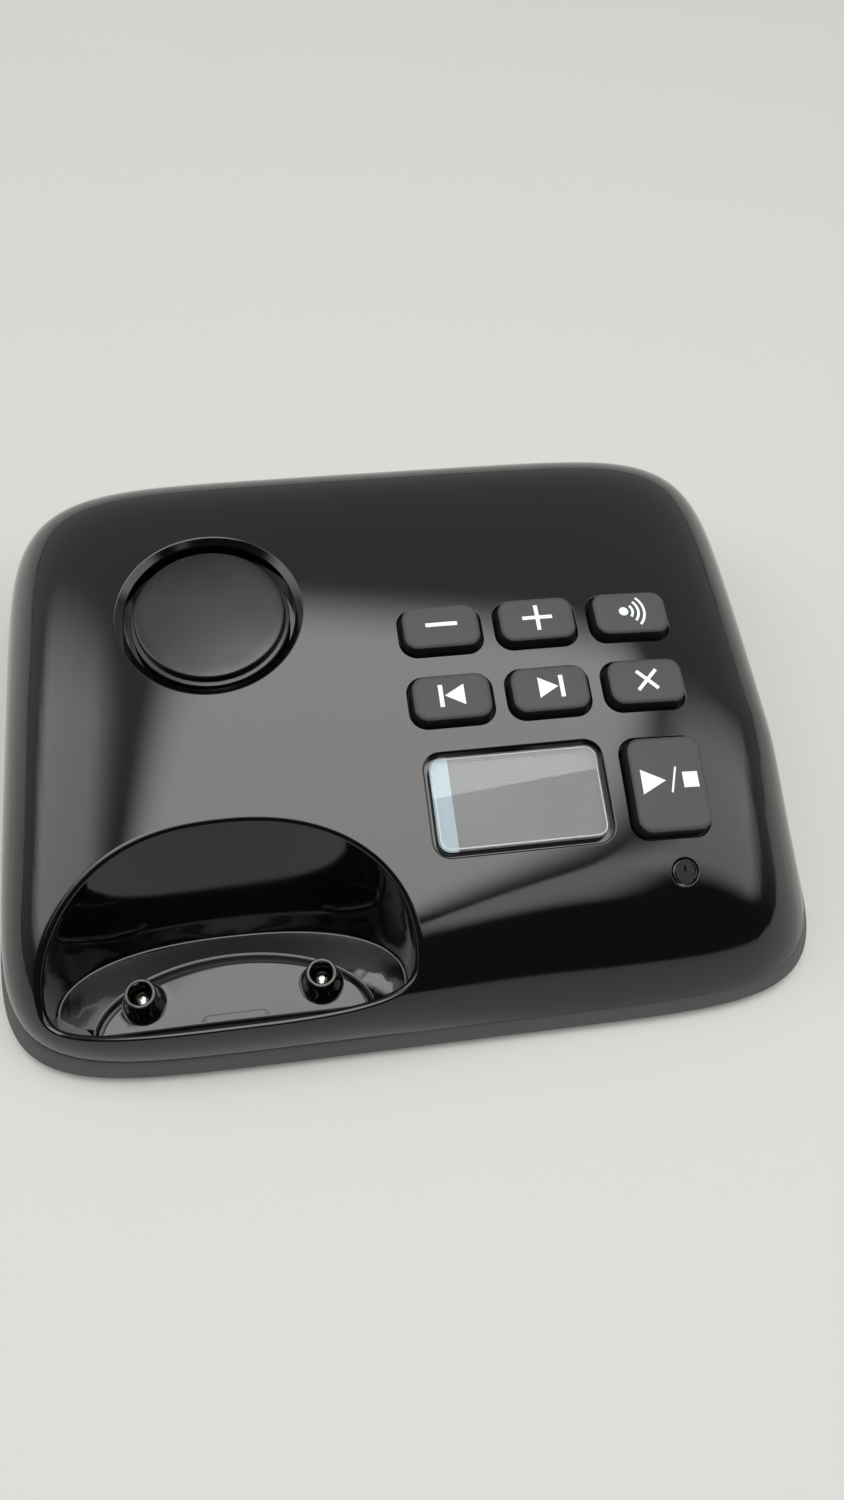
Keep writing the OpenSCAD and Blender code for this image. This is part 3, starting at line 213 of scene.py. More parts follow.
class Skin:
    def __init__(self):
        self.points, self.normals, self.faces, self.slots = [], [], [], []
        self.slot = 0

    def add(self, points, normals=UP):
        """Adds a loop. Its normals, or one for all, count only where build takes them over."""
        start = len(self.points)
        points = np.asarray(points, float)
        self.points.extend(points.tolist())
        self.normals.extend(np.broadcast_to(np.asarray(normals, float), points.shape).tolist())
        return list(range(start, start + len(points)))

    def again(self, loop, normal):
        """The same loop with another normal, for a hard corner."""
        return self.add([self.points[i] for i in loop], normal)

    def face(self, corners):
        self.faces.append(corners)
        self.slots.append(self.slot)

    def band(self, upper, lower):
        n = len(upper)
        for i in range(n):
            j = (i + 1) % n
            self.face([upper[i], upper[j], lower[j], lower[i]])

    def cap(self, loop, flip=False):
        self.face(loop[::-1] if flip else list(loop))

    def patch(self, outer, holes, flat_outer, flat_holes, spacing, lift, flip=False):
        """Fills between loops already in the skin. The flat_ loops are their places on the
        drawing, and lift gives the place and normal in space of points added between them."""
        loops = [flat_outer] + flat_holes
        edge = np.vstack(loops)
        low, high = flat_outer.min(axis=0), flat_outer.max(axis=0)
        rows = np.arange(low[1] + spacing / 2, high[1], spacing * 0.87)
        grid = np.array([
            (x + (spacing / 2 if i % 2 else 0), y)
            for i, y in enumerate(rows) for x in np.arange(low[0], high[0], spacing)
        ]).reshape(-1, 2)
        grid = grid[within(grid, flat_outer, flat_holes)]
        if len(grid):
            near = np.min([
                np.min(np.hypot(grid[:, :1] - part[:, 0], grid[:, 1:] - part[:, 1]), axis=1)
                for part in np.array_split(edge, max(1, len(edge) // 200))
            ], axis=0)
            grid = grid[near > 0.55 * spacing]
        known = list(outer) + [v for hole in holes for v in hole]
        if len(grid):
            known += self.add(*lift(grid))
        edges, start = [], 0
        for loop in loops:
            n = len(loop)
            edges += [(start + i, start + (i + 1) % n) for i in range(n)]
            start += n
        drawing = [Vector(p) for p in np.vstack([edge, grid])]
        out, _, faces, origin, _, _ = delaunay_2d_cdt(drawing, edges, [], 0, 1e-6)
        names = [o[0] if o else None for o in origin]
        middle = np.array([np.mean([out[v] for v in f], axis=0) for f in faces])
        for f, ok in zip(faces, within(middle, flat_outer, flat_holes)):
            if ok and all(names[v] is not None for v in f):
                corners = [known[names[v]] for v in f]
                self.face(corners[::-1] if flip else corners)


def build(skin, name, materials, sharp=None):
    """Turns a skin, in millimetres, into a named Blender object, in metres. Given an angle,
    edges sharper than it stay sharp; else the skin's own exact normals are taken over."""
    mesh = bpy.data.meshes.new(name)
    points, normals = np.array(skin.points), np.array(skin.normals)
    faces = [list(map(int, f)) for f in skin.faces]
    if sharp is None:
        for i, f in enumerate(faces):
            side = np.cross(points[f[1]] - points[f[0]], points[f[-1]] - points[f[0]])
            if side @ normals[f].sum(axis=0) < 0:
                faces[i] = f[::-1]
    mesh.from_pydata((points * MM).tolist(), [], faces)
    for material in materials:
        mesh.materials.append(material)
    mesh.polygons.foreach_set("material_index", skin.slots)
    mesh.polygons.foreach_set("use_smooth", [True] * len(skin.faces))
    mesh.update()
    if sharp is None:
        mesh.normals_split_custom_set_from_vertices([Vector(n).normalized() for n in normals])
    else:
        work = bmesh.new()
        work.from_mesh(mesh)
        bmesh.ops.recalc_face_normals(work, faces=work.faces)
        work.to_mesh(mesh)
        work.free()
        mesh.set_sharp_from_angle(angle=math.radians(sharp))
    piece = bpy.data.objects.new(name, mesh)
    bpy.context.scene.collection.objects.link(piece)
    return piece


# %% [markdown]
# Keys, window, speaker and microphone each stand square to the cover where they are.
# `Seat` is such a place: its middle lies on the surface and its third axis is the normal.

# %% Seats on the cover
class Seat:
    def __init__(self, x, y):
        h = 0.5
        slope_x = float(cover_top(x + h, y) - cover_top(x - h, y)) / (2 * h)
        slope_y = float(cover_top(x, y + h) - cover_top(x, y - h)) / (2 * h)
        turn_y = math.atan(-slope_x)
        turn_x = math.atan(slope_y * math.cos(turn_y))
        turn = Matrix.Rotation(turn_y, 3, "Y") @ Matrix.Rotation(turn_x, 3, "X")
        self.origin = np.array([x, y, float(cover_top(x, y))])
        self.axes = np.array(turn.transposed())
        self.up = self.turn(UP)

    def turn(self, local):
        return np.asarray(local, float) @ self.axes

    def place(self, local):
        return self.origin + self.turn(local)

    def at(self, uv, h):
        """Points uv of the seat's plane, raised by h."""
        return self.place(at_height(uv, h))

    def side(self, out):
        """Directions out of the seat's plane, in space."""
        return self.turn(at_height(out, 0.0))

    def drop_to_cover(self, uv):
        """Where lines square to the seat, through points uv, meet the cover."""
        w = np.zeros(len(uv))
        for _ in range(12):
            p = self.at(uv, w)
            w -= (p[:, 2] - cover_top(p[:, 0], p[:, 1])) / self.axes[2, 2]
        return self.at(uv, w)


def rounded_rect(w, d, r, turns=10):
    """Points and outward directions round a rectangle with round corners."""
    points, out = [], []
    for cx, cy, start in ((1, 1, 0), (-1, 1, 90), (-1, -1, 180), (1, -1, 270)):
        for i in range(turns + 1):
            a = math.radians(start + 90 * i / turns)
            points.append((cx * (w / 2 - r) + r * math.cos(a), cy * (d / 2 - r) + r * math.sin(a)))
            out.append((math.cos(a), math.sin(a)))
    points, out = np.array(points), np.array(out)
    # extra points along the straight runs keep the triangles beside them even
    full, full_out = [], []
    for p, q, out_p, out_q in zip(points, np.roll(points, -1, axis=0), out, np.roll(out, -1, axis=0)):
        n = max(1, int(np.hypot(*(q - p)) / 1.1))
        for t in np.arange(n) / n:
            full.append(p * (1 - t) + q * t)
            o = out_p * (1 - t) + out_q * t
            full_out.append(o / np.hypot(*o))
    return np.array(full), np.array(full_out)


def circle(r, n):
    """Points and outward directions round a circle."""
    a = np.arange(n) * 2 * np.pi / n
    ring = np.column_stack([np.cos(a), np.sin(a)])
    return ring * r, ring


play_seat, window_seat = Seat(37.4, -22.6), Seat(15.1, -22.2)
mic_seat, speaker_seat = Seat(38.2, -34.9), Seat(-27.7, 12.5)
print("seat of the play key:", play_seat.origin.round(2))

# %% [markdown]
# Moulded edges are never sharp. `lip` rolls the cover's surface over into a wall with a ball
# of the given radius: it starts on the cover, with the cover's own normal, and ends on the
# wall, so light runs round the edge in one thin line, as it does on the real moulding.

# %% Rolled lips
def slerp(a, b, t):
    """Directions part of the way from a to b."""
    angle = np.arccos(np.clip((a * b).sum(axis=1), -1, 1))[:, None]
    angle = np.maximum(angle, 1e-6)
    return (np.sin((1 - t) * angle) * a + np.sin(t * angle) * b) / np.sin(angle)


def ball_middle(edge, radius, first, second):
    """The middle of a ball that touches two surfaces which meet at edge."""
    c = (first * second).sum(axis=1)[:, None]
    return edge - radius / (1 + c) * (first + second)


def lip(skin, edge, wall_normal, radius, arcs=6):
    """edge is where wall and cover would meet. Returns the loop on the cover, the last loop
    and the places of the first."""
    top_normal = cover_normal(edge)
    middle = ball_middle(edge, radius, top_normal, wall_normal)
    first = middle + radius * top_normal
    on_cover = first.copy()
    for _ in range(3):
        gap = on_cover[:, 2] - cover_top(on_cover[:, 0], on_cover[:, 1])
        on_cover -= top_normal * (gap * top_normal[:, 2])[:, None]
    shift = on_cover - first
    loops = []
    for k in range(arcs + 1):
        t = k / arcs
        direction = slerp(top_normal, wall_normal, t)
        normal = direction if k else cover_normal(on_cover)
        loops.append(skin.add(middle + radius * direction + shift * (1 - t) ** 2, normal))
    for a, b in zip(loops, loops[1:]):
        skin.band(a, b)
    return loops[0], loops[-1], on_cover


def round_corner(skin, previous, middle, radius, start, end, first=0):
    """Carries a skin on round a corner, from one normal to the other, about a ball's middle."""
    for k in range(first, 5):
        n = slerp(start, end, k / 4)
        loop = skin.add(middle + radius * n, n)
        skin.band(previous, loop)
        previous = loop
    return previous


# %% [markdown]
# The well takes the foot of the handset. From above it is an arch at the back and a flatter
# curve at the front, and its walls lean out towards the top. Each wall line runs straight
# from the floor's outline to the mouth's, and the rim is where it meets the cover.

# %% The handset well
WELL_X, WELL_Y, WELL_FLOOR, MOUTH_Z = -28.8, -41.3, 6.9, 30.0


def squared_oval(t, w, d, power):
    """Points of a squared oval at angles t."""
    c, s = np.cos(t), np.sin(t)
    return np.column_stack([w * np.sign(c) * np.abs(c) ** (2 / power),
                            d * np.sign(s) * np.abs(s) ** (2 / power)])


def even_steps(curve, n, rounds):
    """Angles for even steps round a closed curve, and the points of the last round."""
    t = np.arange(n) * 2 * np.pi / n
    for _ in range(rounds):
        points = curve(t)
        closed = np.vstack([points, points[:1]])
        run = np.concatenate([[0], np.cumsum(np.hypot(*np.diff(closed, axis=0).T))])
        t = np.interp(np.arange(n) / n * run[-1], run, np.append(t, 2 * np.pi))
    return t, points


def well_curve(t, w, back, front):
    behind = np.sin(t) >= 0
    return squared_oval(t, w, np.where(behind, back, front), np.where(behind, 2.3, 3.0))


WELL_T, _ = even_steps(lambda t: well_curve(t, 26.4, 16.0, 6.5), 180, 4)


def well_points(z):
    """The well's outline at a height: half width, back and front grow from floor to mouth."""
    k = (z - WELL_FLOOR) / (MOUTH_Z - WELL_FLOOR)
    sizes = (floor + (mouth - floor) * k for floor, mouth in ((25.6, 27.2), (10.3, 23.0), (4.7, 8.6)))
    return at_height(well_curve(WELL_T, *sizes) + [WELL_X, WELL_Y], z)


def well_normals(z):
    """Normals of the well's wall, pointing into the well."""
    p = well_points(z)
    along = np.roll(p, -1, axis=0) - np.roll(p, 1, axis=0)
    n = np.cross(well_points(z + 0.1) - p, along)
    n /= np.linalg.norm(n, axis=1, keepdims=True)
    toward = [WELL_X, WELL_Y] - p[:, :2]
    return n * np.sign((n[:, :2] * toward).sum(axis=1))[:, None]


low, high = np.full(len(WELL_T), WELL_FLOOR), np.full(len(WELL_T), MOUTH_Z)
for _ in range(40):
    z = (low + high) / 2
    p = well_points(z)
    under = z < cover_top(p[:, 0], p[:, 1])
    low, high = np.where(under, z, low), np.where(under, high, z)
RIM_Z = (low + high) / 2
print("well rim between", round(RIM_Z.min(), 1), "and", round(RIM_Z.max(), 1), "mm high")

# %% [markdown]
# Now the cover itself. Its outer loop is the seam, which rises over the two sockets at the
# back. Inside it lie the holes: the well, the speaker recess, seven keys, the display window
# and the microphone. Each hole gets its lip, the sheet between the lips is filled on the
# unrolled drawing, and walls go down from them.

# %% Top cover: the seam edge and the socket notches
cover = Skin()
SEAM_ROUND, COVER_WALL = 0.25, 1.8
SOCKETS = [(32.0, 4.8, 14.7), (12.0, 6.8, 15.7)]  # middle x, half width and top of each notch


def outline(inset):
    """The housing's outline from above, pulled in by inset."""
    return even_steps(lambda t: squared_oval(t, HALF_W - inset, HALF_D - inset, SQUARE), 440, 6)[1]


def outward(loop):
    """Level outward normals of a loop that runs anticlockwise."""
    along = np.roll(loop, -1, axis=0) - np.roll(loop, 1, axis=0)
    n = np.column_stack([along[:, 1], -along[:, 0], np.zeros(len(loop))])
    return n / np.linalg.norm(n, axis=1, keepdims=True)


def on_back(x, z):
    """Where the line at x and z meets the back of the cover."""
    y = np.full(len(x), COVER_B)
    for _ in range(8):
        full = (z - SEAM) / (crown(x, y) - SEAM)
        rho = (1 - full ** 2) ** (1 / FULL)
        y = COVER_B * (rho ** SQUARE - np.abs(x / COVER_A) ** SQUARE) ** (1 / SQUARE)
    return np.column_stack([x, y, z])


def arch(x0, half, top, r=0.6):
    """A socket notch seen from behind, from its right foot over the top to its left foot:
    places (x, z) and directions into the opening."""
    places = []
    for a in np.linspace(-90, 0, 5):
        c, s = math.cos(math.radians(a)), math.sin(math.radians(a))
        places.append((half + r - r * c, SEAM + r + r * s, (-c, s)))
    places += [(half, z, (-1, 0)) for z in np.linspace(SEAM + r, top - r, 10)[1:-1]]
    for a in np.linspace(0, 90, 6):
        c, s = math.cos(math.radians(a)), math.sin(math.radians(a))
        places.append((half - r + r * c, top - r + r * s, (-c, -s)))
    places += [(x, top, (0, -1)) for x in np.linspace(half - r, 0, 6)[1:-1]]
    mirrored = [(-x, z, (-n[0], n[1])) for x, z, n in places[::-1]]
    both = places + [(0.0, top, (0, -1))] + mirrored
    return np.array([(x + x0, z) for x, z, _ in both]), np.array([n for _, _, n in both])


plan = outline(DRAFT)
seam_edge, seam_wall = [], []
start = 0
for x0, half, top in SOCKETS:
    gap = np.where((plan[:, 1] > 30) & (np.abs(plan[:, 0] - x0) < half + 1.0))[0]
    seam_edge.append(at_height(plan[start:gap[0]], SEAM))
    seam_wall.append(np.tile([0.0, 0, -1], (gap[0] - start, 1)))
    xz, into = arch(x0, half, top)
    seam_edge.append(on_back(xz[:, 0], xz[:, 1]))
    seam_wall.append(np.column_stack([into[:, 0], np.zeros(len(into)), into[:, 1]]))
    start = gap[-1] + 1
seam_edge = np.vstack(seam_edge + [at_height(plan[start:], SEAM)])
seam_wall = np.vstack(seam_wall + [np.tile([0.0, 0, -1], (len(plan) - start, 1))])
edge_loop, last, edge_points = lip(cover, seam_edge, seam_wall, SEAM_ROUND, arcs=4)
level = np.column_stack([np.sign(seam_edge[:, i]) * np.abs(seam_edge[:, i] / reach) ** 6 / reach
                         for i, reach in enumerate((COVER_A, COVER_B))] + [np.zeros(len(seam_edge))])
level /= np.linalg.norm(level, axis=1, keepdims=True)
ring = np.array([cover.points[i] for i in last]) - level * COVER_WALL
cover.band(last, cover.add(ring, seam_wall))
loop = cover.add(ring, -level)
cover.band(loop, cover.add(ring - seam_wall * 1.5, -level))
print("seam loop:", len(seam_edge), "points")

# %% [markdown]
# The key holes and the window have small lips, the speaker recess has a wide polished bevel.
# The floor of the recess lies under the round cover, and only its dark gap shows.

# %% Top cover: holes with lips
KEY_W, KEY_D, KEY_CORNER, KEY_FIT = 12.2, 7.7, 2.3, 0.35
PLAY_W, PLAY_D = 11.9, 14.9
WINDOW_W, WINDOW_D, WINDOW_CORNER, LENS_FIT = 26.9, 15.8, 2.6, 0.7
LEDGE, LEDGE_DEPTH = 2.0, 1.7
holes, hole_drawings = [], []


def rolled_hole(edge, wall, radius, arcs=6):
    """Rolls the cover into the wall of a hole, and returns the last loop of the roll."""
    top_loop, last, on_cover = lip(cover, edge, wall, radius, arcs)
    holes.append(top_loop)
    hole_drawings.append(unroll(on_cover))
    return last


def straight_hole(seat, uv, out, radius, depth):
    """A hole with a rolled lip and a wall that goes straight down to the given depth."""
    wall = -seat.side(out)
    last = rolled_hole(seat.drop_to_cover(uv), wall, radius)
    foot = cover.add(seat.at(uv, -depth), wall)
    cover.band(last, foot)
    return foot


key_sizes = {
    "key_volume_down": (Seat(7.2, 5.6), KEY_W, KEY_D), "key_volume_up": (Seat(22.2, 5.6), KEY_W, KEY_D),
    "key_page": (Seat(37.2, 5.6), KEY_W, KEY_D), "key_previous": (Seat(7.2, -6.3), KEY_W, KEY_D),
    "key_next": (Seat(22.2, -6.3), KEY_W, KEY_D), "key_delete": (Seat(37.2, -6.3), KEY_W, KEY_D),
    "key_play_stop": (play_seat, PLAY_W, PLAY_D),
}
for seat, w, d in key_sizes.values():
    straight_hole(seat, *rounded_rect(w + 2 * KEY_FIT, d + 2 * KEY_FIT, KEY_CORNER + KEY_FIT), 0.22, 2.2)

uv, out = rounded_rect(WINDOW_W, WINDOW_D, WINDOW_CORNER)
recess = straight_hole(window_seat, uv, out, 0.3, LEDGE_DEPTH)
inner_uv, _ = rounded_rect(WINDOW_W - 2 * LEDGE, WINDOW_D - 2 * LEDGE, 0.1, turns=2)
inner = cover.add(window_seat.at(inner_uv, -LEDGE_DEPTH), window_seat.up)
cover.patch(cover.again(recess, window_seat.up), [inner], uv, [inner_uv], 2.0,
            lambda g: (window_seat.at(g, -LEDGE_DEPTH), window_seat.up))
below = cover.add(window_seat.at(inner_uv, -2.6), -window_seat.up)
cover.band(cover.again(inner, window_seat.up), below)

straight_hole(mic_seat, *circle(2.08, 40), 0.15, 2.0)
print("holes so far:", len(holes))

# %% Top cover: the speaker recess
BEVEL_R, RECESS_R, BEVEL_H, RECESS_H, CORNER_R = 14.3, 13.1, 1.0, 3.6, 0.3
uv, out = circle(BEVEL_R, 120)
slant = np.hypot(BEVEL_R - RECESS_R, BEVEL_H)
bevel = speaker_seat.turn(at_height(-out * BEVEL_H / slant, (BEVEL_R - RECESS_R) / slant))
wall = -speaker_seat.side(out)
last = rolled_hole(speaker_seat.drop_to_cover(uv), bevel, 0.35)
recess_uv = uv / BEVEL_R * RECESS_R
middle = ball_middle(speaker_seat.at(recess_uv, -BEVEL_H), CORNER_R, bevel, wall)
previous = round_corner(cover, last, middle, CORNER_R, bevel, wall)
foot = cover.add(speaker_seat.at(recess_uv, -RECESS_H), wall)
cover.band(previous, foot)
cover.patch(cover.again(foot, speaker_seat.up), [], recess_uv, [], 2.5,
            lambda g: (speaker_seat.at(g, -RECESS_H), speaker_seat.up))
print("speaker recess made at", speaker_seat.origin.round(1))

# %% [markdown]
# The well's lip is a polished roll about 1 mm in radius. Where the front wall is thin, wall
# and cover meet almost back to back, so the roll gets smaller there and leaves a fine crest.
# The floor climbs from the foot of the wall to the contact carrier.

# %% Top cover: the handset well
FLOOR_ROUND, FOOT_Z = 0.35, 6.1
CARRIER_W, CARRIER_D, CARRIER_Y = 20.3, 10.2, -45.4  # half width, depth and front of the carrier
MOUND_Z, MOUND_Y, MOUND_R, MOUND_DROP = 8.25, -36.0, 45.0, 0.5

edge = well_points(RIM_Z)
wall = well_normals(RIM_Z)
meeting = (cover_normal(edge) * wall).sum(axis=1)[:, None]
radius = 1.15 * np.clip(1 + meeting, 0.02, 1.0) ** 0.5
for _ in range(6):
    radius = (np.roll(radius, 1, axis=0) + 2 * radius + np.roll(radius, -1, axis=0)) / 4
previous = rolled_hole(edge, wall, radius, arcs=8)
start_z = np.array([cover.points[i][2] for i in previous])
for k in range(1, 13):
    z = start_z + (FOOT_Z + FLOOR_ROUND - start_z) * k / 12
    loop = cover.add(well_points(z), well_normals(z))
    cover.band(previous, loop)
    previous = loop
foot_z = np.full(len(WELL_T), FOOT_Z)
foot_wall = well_normals(foot_z)
up = np.tile(UP, (len(WELL_T), 1))
middle = ball_middle(well_points(foot_z), -FLOOR_ROUND, foot_wall, up)
previous = round_corner(cover, previous, middle, -FLOOR_ROUND, foot_wall, up, first=1)
floor_drawing = np.array([cover.points[i][:2] for i in previous])


def carrier_loop(inset, forward=0.45, n=120):
    """The carrier seen from above, pulled in: half an oval with a straight front."""
    a, b, y0 = CARRIER_W - inset, CARRIER_D - inset, CARRIER_Y - forward * inset
    t0 = math.asin(max(inset, 0) / b)
    t = np.linspace(t0, np.pi - t0, n)
    arc = np.column_stack([WELL_X + a * np.cos(t), y0 + b * np.sin(t)])
    front_x = np.linspace(arc[-1, 0], arc[0, 0], 50)[1:-1]
    return np.vstack([arc, np.column_stack([front_x, np.full(48, y0 + inset)])])


def mound(g):
    """Height of the carrier's crowned top: it leans to the front and falls to both sides."""
    aside = np.minimum(np.abs(g[:, 0] - WELL_X) / CARRIER_W, 1.0)
    fall = MOUND_DROP * np.sin(aside * math.pi / 2) ** 2
    return MOUND_Z - (g[:, 1] - MOUND_Y) ** 2 / (2 * MOUND_R) - fall


def skirt(g):
    """Height of the well's floor, which climbs from the foot of the wall to the carrier."""
    to_wall, to_carrier = (np.min(np.hypot(g[:, :1] - loop[:, 0], g[:, 1:] - loop[:, 1]), axis=1)
                           for loop in (floor_drawing, opening))
    climb = to_wall / np.maximum(to_wall + to_carrier, 1e-6)
    return FOOT_Z + climb * (mound(g) - 0.4 - FOOT_Z)


def on_skirt(g):
    """Points and normals of the well's floor."""
    h = 0.05
    slope_x = (skirt(g + [h, 0]) - skirt(g - [h, 0])) / (2 * h)
    slope_y = (skirt(g + [0, h]) - skirt(g - [0, h])) / (2 * h)
    n = np.column_stack([-slope_x, -slope_y, np.ones(len(g))])
    return np.column_stack([g, skirt(g)]), n / np.linalg.norm(n, axis=1, keepdims=True)


opening = carrier_loop(-0.15, forward=0.0)
opening_normals = on_skirt(opening + outward(opening)[:, :2] * 0.2)[1]
opening_loop = cover.add(on_skirt(opening)[0], opening_normals)
foot_normals = on_skirt(floor_drawing * 0.99 + np.array([WELL_X, WELL_Y]) * 0.01)[1]
floor_loop = cover.again(previous, foot_normals)
cover.patch(floor_loop, [opening_loop], floor_drawing, [opening], 1.2, on_skirt)
cover.band(opening_loop, cover.add(at_height(opening, FOOT_Z - 0.6), -outward(opening)))
print("well rim lip from", float(radius.min().round(2)), "to", float(radius.max().round(2)), "mm")

# %% Top cover: the sheet between the lips
cover.patch(edge_loop, holes, unroll(edge_points), hole_drawings, 1.5, roll_back)
print("cover skin:", len(cover.points), "points,", len(cover.faces), "faces")

# %% [markdown]
# The base is a tray in textured dark plastic. Only a band of it shows under the seam, with a
# soft edge at the table, so it is lofted from a few outlines. Below it has pockets for the
# screws and feet, and cooling slots, cut in the same way as the cover's holes.

# %% Bottom cover
base = Skin()
BASE_LOW, FLOOR_TOP, LIP_TOP, RIM_TOP = 0.8, 2.6, 6.3, 4.55
ROUND_TOP, SIDE_RUN = 1.8, 2.75  # where the round foot of the side starts, and the side's height
side = [(DRAFT * (z - ROUND_TOP) / SIDE_RUN, z) for z in (4.4, 3.4, 2.6, 2.0)]
side += [(0.0, ROUND_TOP), (0.06, 1.45), (0.28, 1.1), (0.62, 0.88), (1.0, BASE_LOW)]


def low_behind(inset, z):
    """An outline at a height, dropped to the sockets' notches where they stand over it."""
    loop = outline(inset)
    notch = np.zeros(len(loop), bool)
    for x0, half, _ in SOCKETS:
        notch |= (loop[:, 1] > 30) & (np.abs(loop[:, 0] - x0) < half + 0.3)
    return np.column_stack([loop, np.where(notch, np.minimum(z, 4.1), z)])


rings = [base.add(low_behind(inset, z)) for inset, z in [(DRAFT + 0.12, RIM_TOP)] + side]
for a, b in zip(rings, rings[1:]):
    base.band(a, b)
inner = rings[0]
for inset, z in ((3.6, RIM_TOP), (3.6, LIP_TOP), (4.7, LIP_TOP), (4.7, FLOOR_TOP)):
    loop = base.add(low_behind(inset, z))
    base.band(loop, inner)
    inner = loop
pockets, pocket_drawings, floor_holes, floor_drawings = [], [], [], []


def pocket(loop, deep, through=False):
    """A blind pocket or a slot right through the floor of the base, from below."""
    mouth, end = base.add(at_height(loop, BASE_LOW)), base.add(at_height(loop, deep))
    base.band(mouth, end)
    pockets.append(mouth)
    pocket_drawings.append(loop)
    if through:
        floor_holes.append(end)
        floor_drawings.append(loop)
    else:
        base.cap(end, flip=True)


ring, _ = circle(1.0, 36)
for x, y in ((-54, 35), (54, 35), (54, -35), (5.4, -42)):
    pocket(ring * 2.8 + [x, y], 2.55)  # screws
for x in (-45, 45):
    for y in (-36, 36):
        pocket(ring * 5.1 + [x, y], 1.6)  # feet
slot_shape, _ = rounded_rect(1.4, 16.0, 0.65, turns=4)
for i in range(7):
    pocket(slot_shape + [20 + (i - 3) * 4, 8], FLOOR_TOP, through=True)
base.patch(rings[-1], pockets, outline(1.0), pocket_drawings, 5.0,
           lambda g: (at_height(g, BASE_LOW), UP), flip=True)
base.patch(inner, floor_holes, outline(4.7), floor_drawings, 6.0,
           lambda g: (at_height(g, FLOOR_TOP), UP))
print("base skin:", len(base.points), "points")

# %% [markdown]
# The round cover over the speaker is a shallow dish turned upside down. Lathe work is a
# profile carried round an axis: here each loop of the profile is one ring of points.

# %% Lathe work
def rounded_profile(corners, radii, arcs=5):
    """A profile line with its corners rounded off."""
    points = [corners[0]]
    for p, q, r, size in zip(corners, corners[1:], corners[2:], radii):
        p, q, r = (np.array(v, float) for v in (p, q, r))
        a, b = (p - q) / np.linalg.norm(p - q), (r - q) / np.linalg.norm(r - q)
        half = math.acos(np.clip(a @ b, -1, 1)) / 2
        reach = min(size / math.tan(half), 0.49 * np.linalg.norm(p - q), 0.49 * np.linalg.norm(r - q))
        size = reach * math.tan(half)
        middle = q + (a + b) / np.linalg.norm(a + b) * (size / math.sin(half))
        start, end = q + a * reach - middle, q + b * reach - middle
        for k in range(arcs + 1):
            v = start * (1 - k / arcs) + end * (k / arcs)
            points.append(tuple(middle + v / np.linalg.norm(v) * size))
    return points + [corners[-1]]


def lathe(name, profile, place, materials, turns):
    """Carries a profile of (radius, height) points round an axis; place puts it in space."""
    skin = Skin()
    ring, _ = circle(1.0, turns)
    loops = [skin.add(place(at_height(ring * r, h) if r else [[0, 0, h]])) for r, h in profile]
    for a, b in zip(loops, loops[1:]):
        if len(a) == 1 or len(b) == 1:
            tip, rim = (a[0], b) if len(a) == 1 else (b[0], a)
            for i in range(len(rim)):
                pair = [rim[i], rim[(i + 1) % len(rim)]]
                skin.face([tip] + (pair if len(a) == 1 else pair[::-1]))
        else:
            skin.band(b, a)
    return build(skin, name, materials, sharp=40)


# %% [markdown]
# Each key is a soft block with a generous roll round its top and a hardly visible crown.
# Its sides get a material of their own, near-black: partly the bare silicone under the coating, partly painted
# shade.
# Its coating is worn dark on the sides, so they get a material of their own.

# %% Keys
KEY_RISE, KEY_ROLL, KEY_CROWN, KEY_LEAN = 2.0, 0.85, 0.14, 0.12


def soft_key(name, seat, w, d, materials):
    skin = Skin()
    outer, out = rounded_rect(w, d, KEY_CORNER, turns=8)
    loops = [skin.add(seat.at(outer + out * grow, z))
             for grow, z in ((0.8, -2.6), (0.8, -1.85), (0, -1.8), (0, 0.2))]
    for k in range(9):
        a = math.pi / 2 * k / 8
        uv = outer - out * (KEY_LEAN + KEY_ROLL * (1 - math.cos(a)))
        loops.append(skin.add(seat.at(uv, KEY_RISE - KEY_CROWN - KEY_ROLL + KEY_ROLL * math.sin(a))))
    edge_uv = outer - out * (KEY_LEAN + KEY_ROLL)
    for k in range(1, 7):
        t = 1 - k / 7
        loops.append(skin.add(seat.at(edge_uv * t, KEY_RISE - KEY_CROWN * t * t)))
    for k, (a, b) in enumerate(zip(loops, loops[1:])):
        # the bands of the sides take slot 1, painted near-black as painted shade
        skin.slot = 1 if k < 7 else 0
        skin.band(b, a)
    skin.cap(loops[-1])
    skin.slot = 1
    skin.cap(loops[0], flip=True)
    return build(skin, name, materials, sharp=50)


def key_top(uv, w, d):
    """Height of a key's crowned top over its seat."""
    edge = KEY_LEAN + KEY_ROLL
    reach = np.maximum(np.abs(uv[:, 0]) / (w / 2 - edge), np.abs(uv[:, 1]) / (d / 2 - edge))
    return KEY_RISE - KEY_CROWN * np.minimum(reach, 1.0) ** 2


print("the play key stands", float(key_top(np.zeros((1, 2)), PLAY_W, PLAY_D)[0]), "mm proud")

# %% [markdown]
# ## Finishes
# A finish is built from what the real surface is. One function turns hex colours to linear
# light, one adds a node, and every pattern's scale comes from a size in millimetres.

# %% Colour and node helpers
def linear(code, alpha=1.0):
    values = [int(code[i:i + 2], 16) / 255 for i in (1, 3, 5)]
    return tuple(v / 12.92 if v <= 0.04045 else ((v + 0.055) / 1.055) ** 2.4 for v in values) + (alpha,)


def per_mm(size):
    """Texture scale, in object space in metres, for a pattern repeating every size mm."""
    return 1000.0 / size


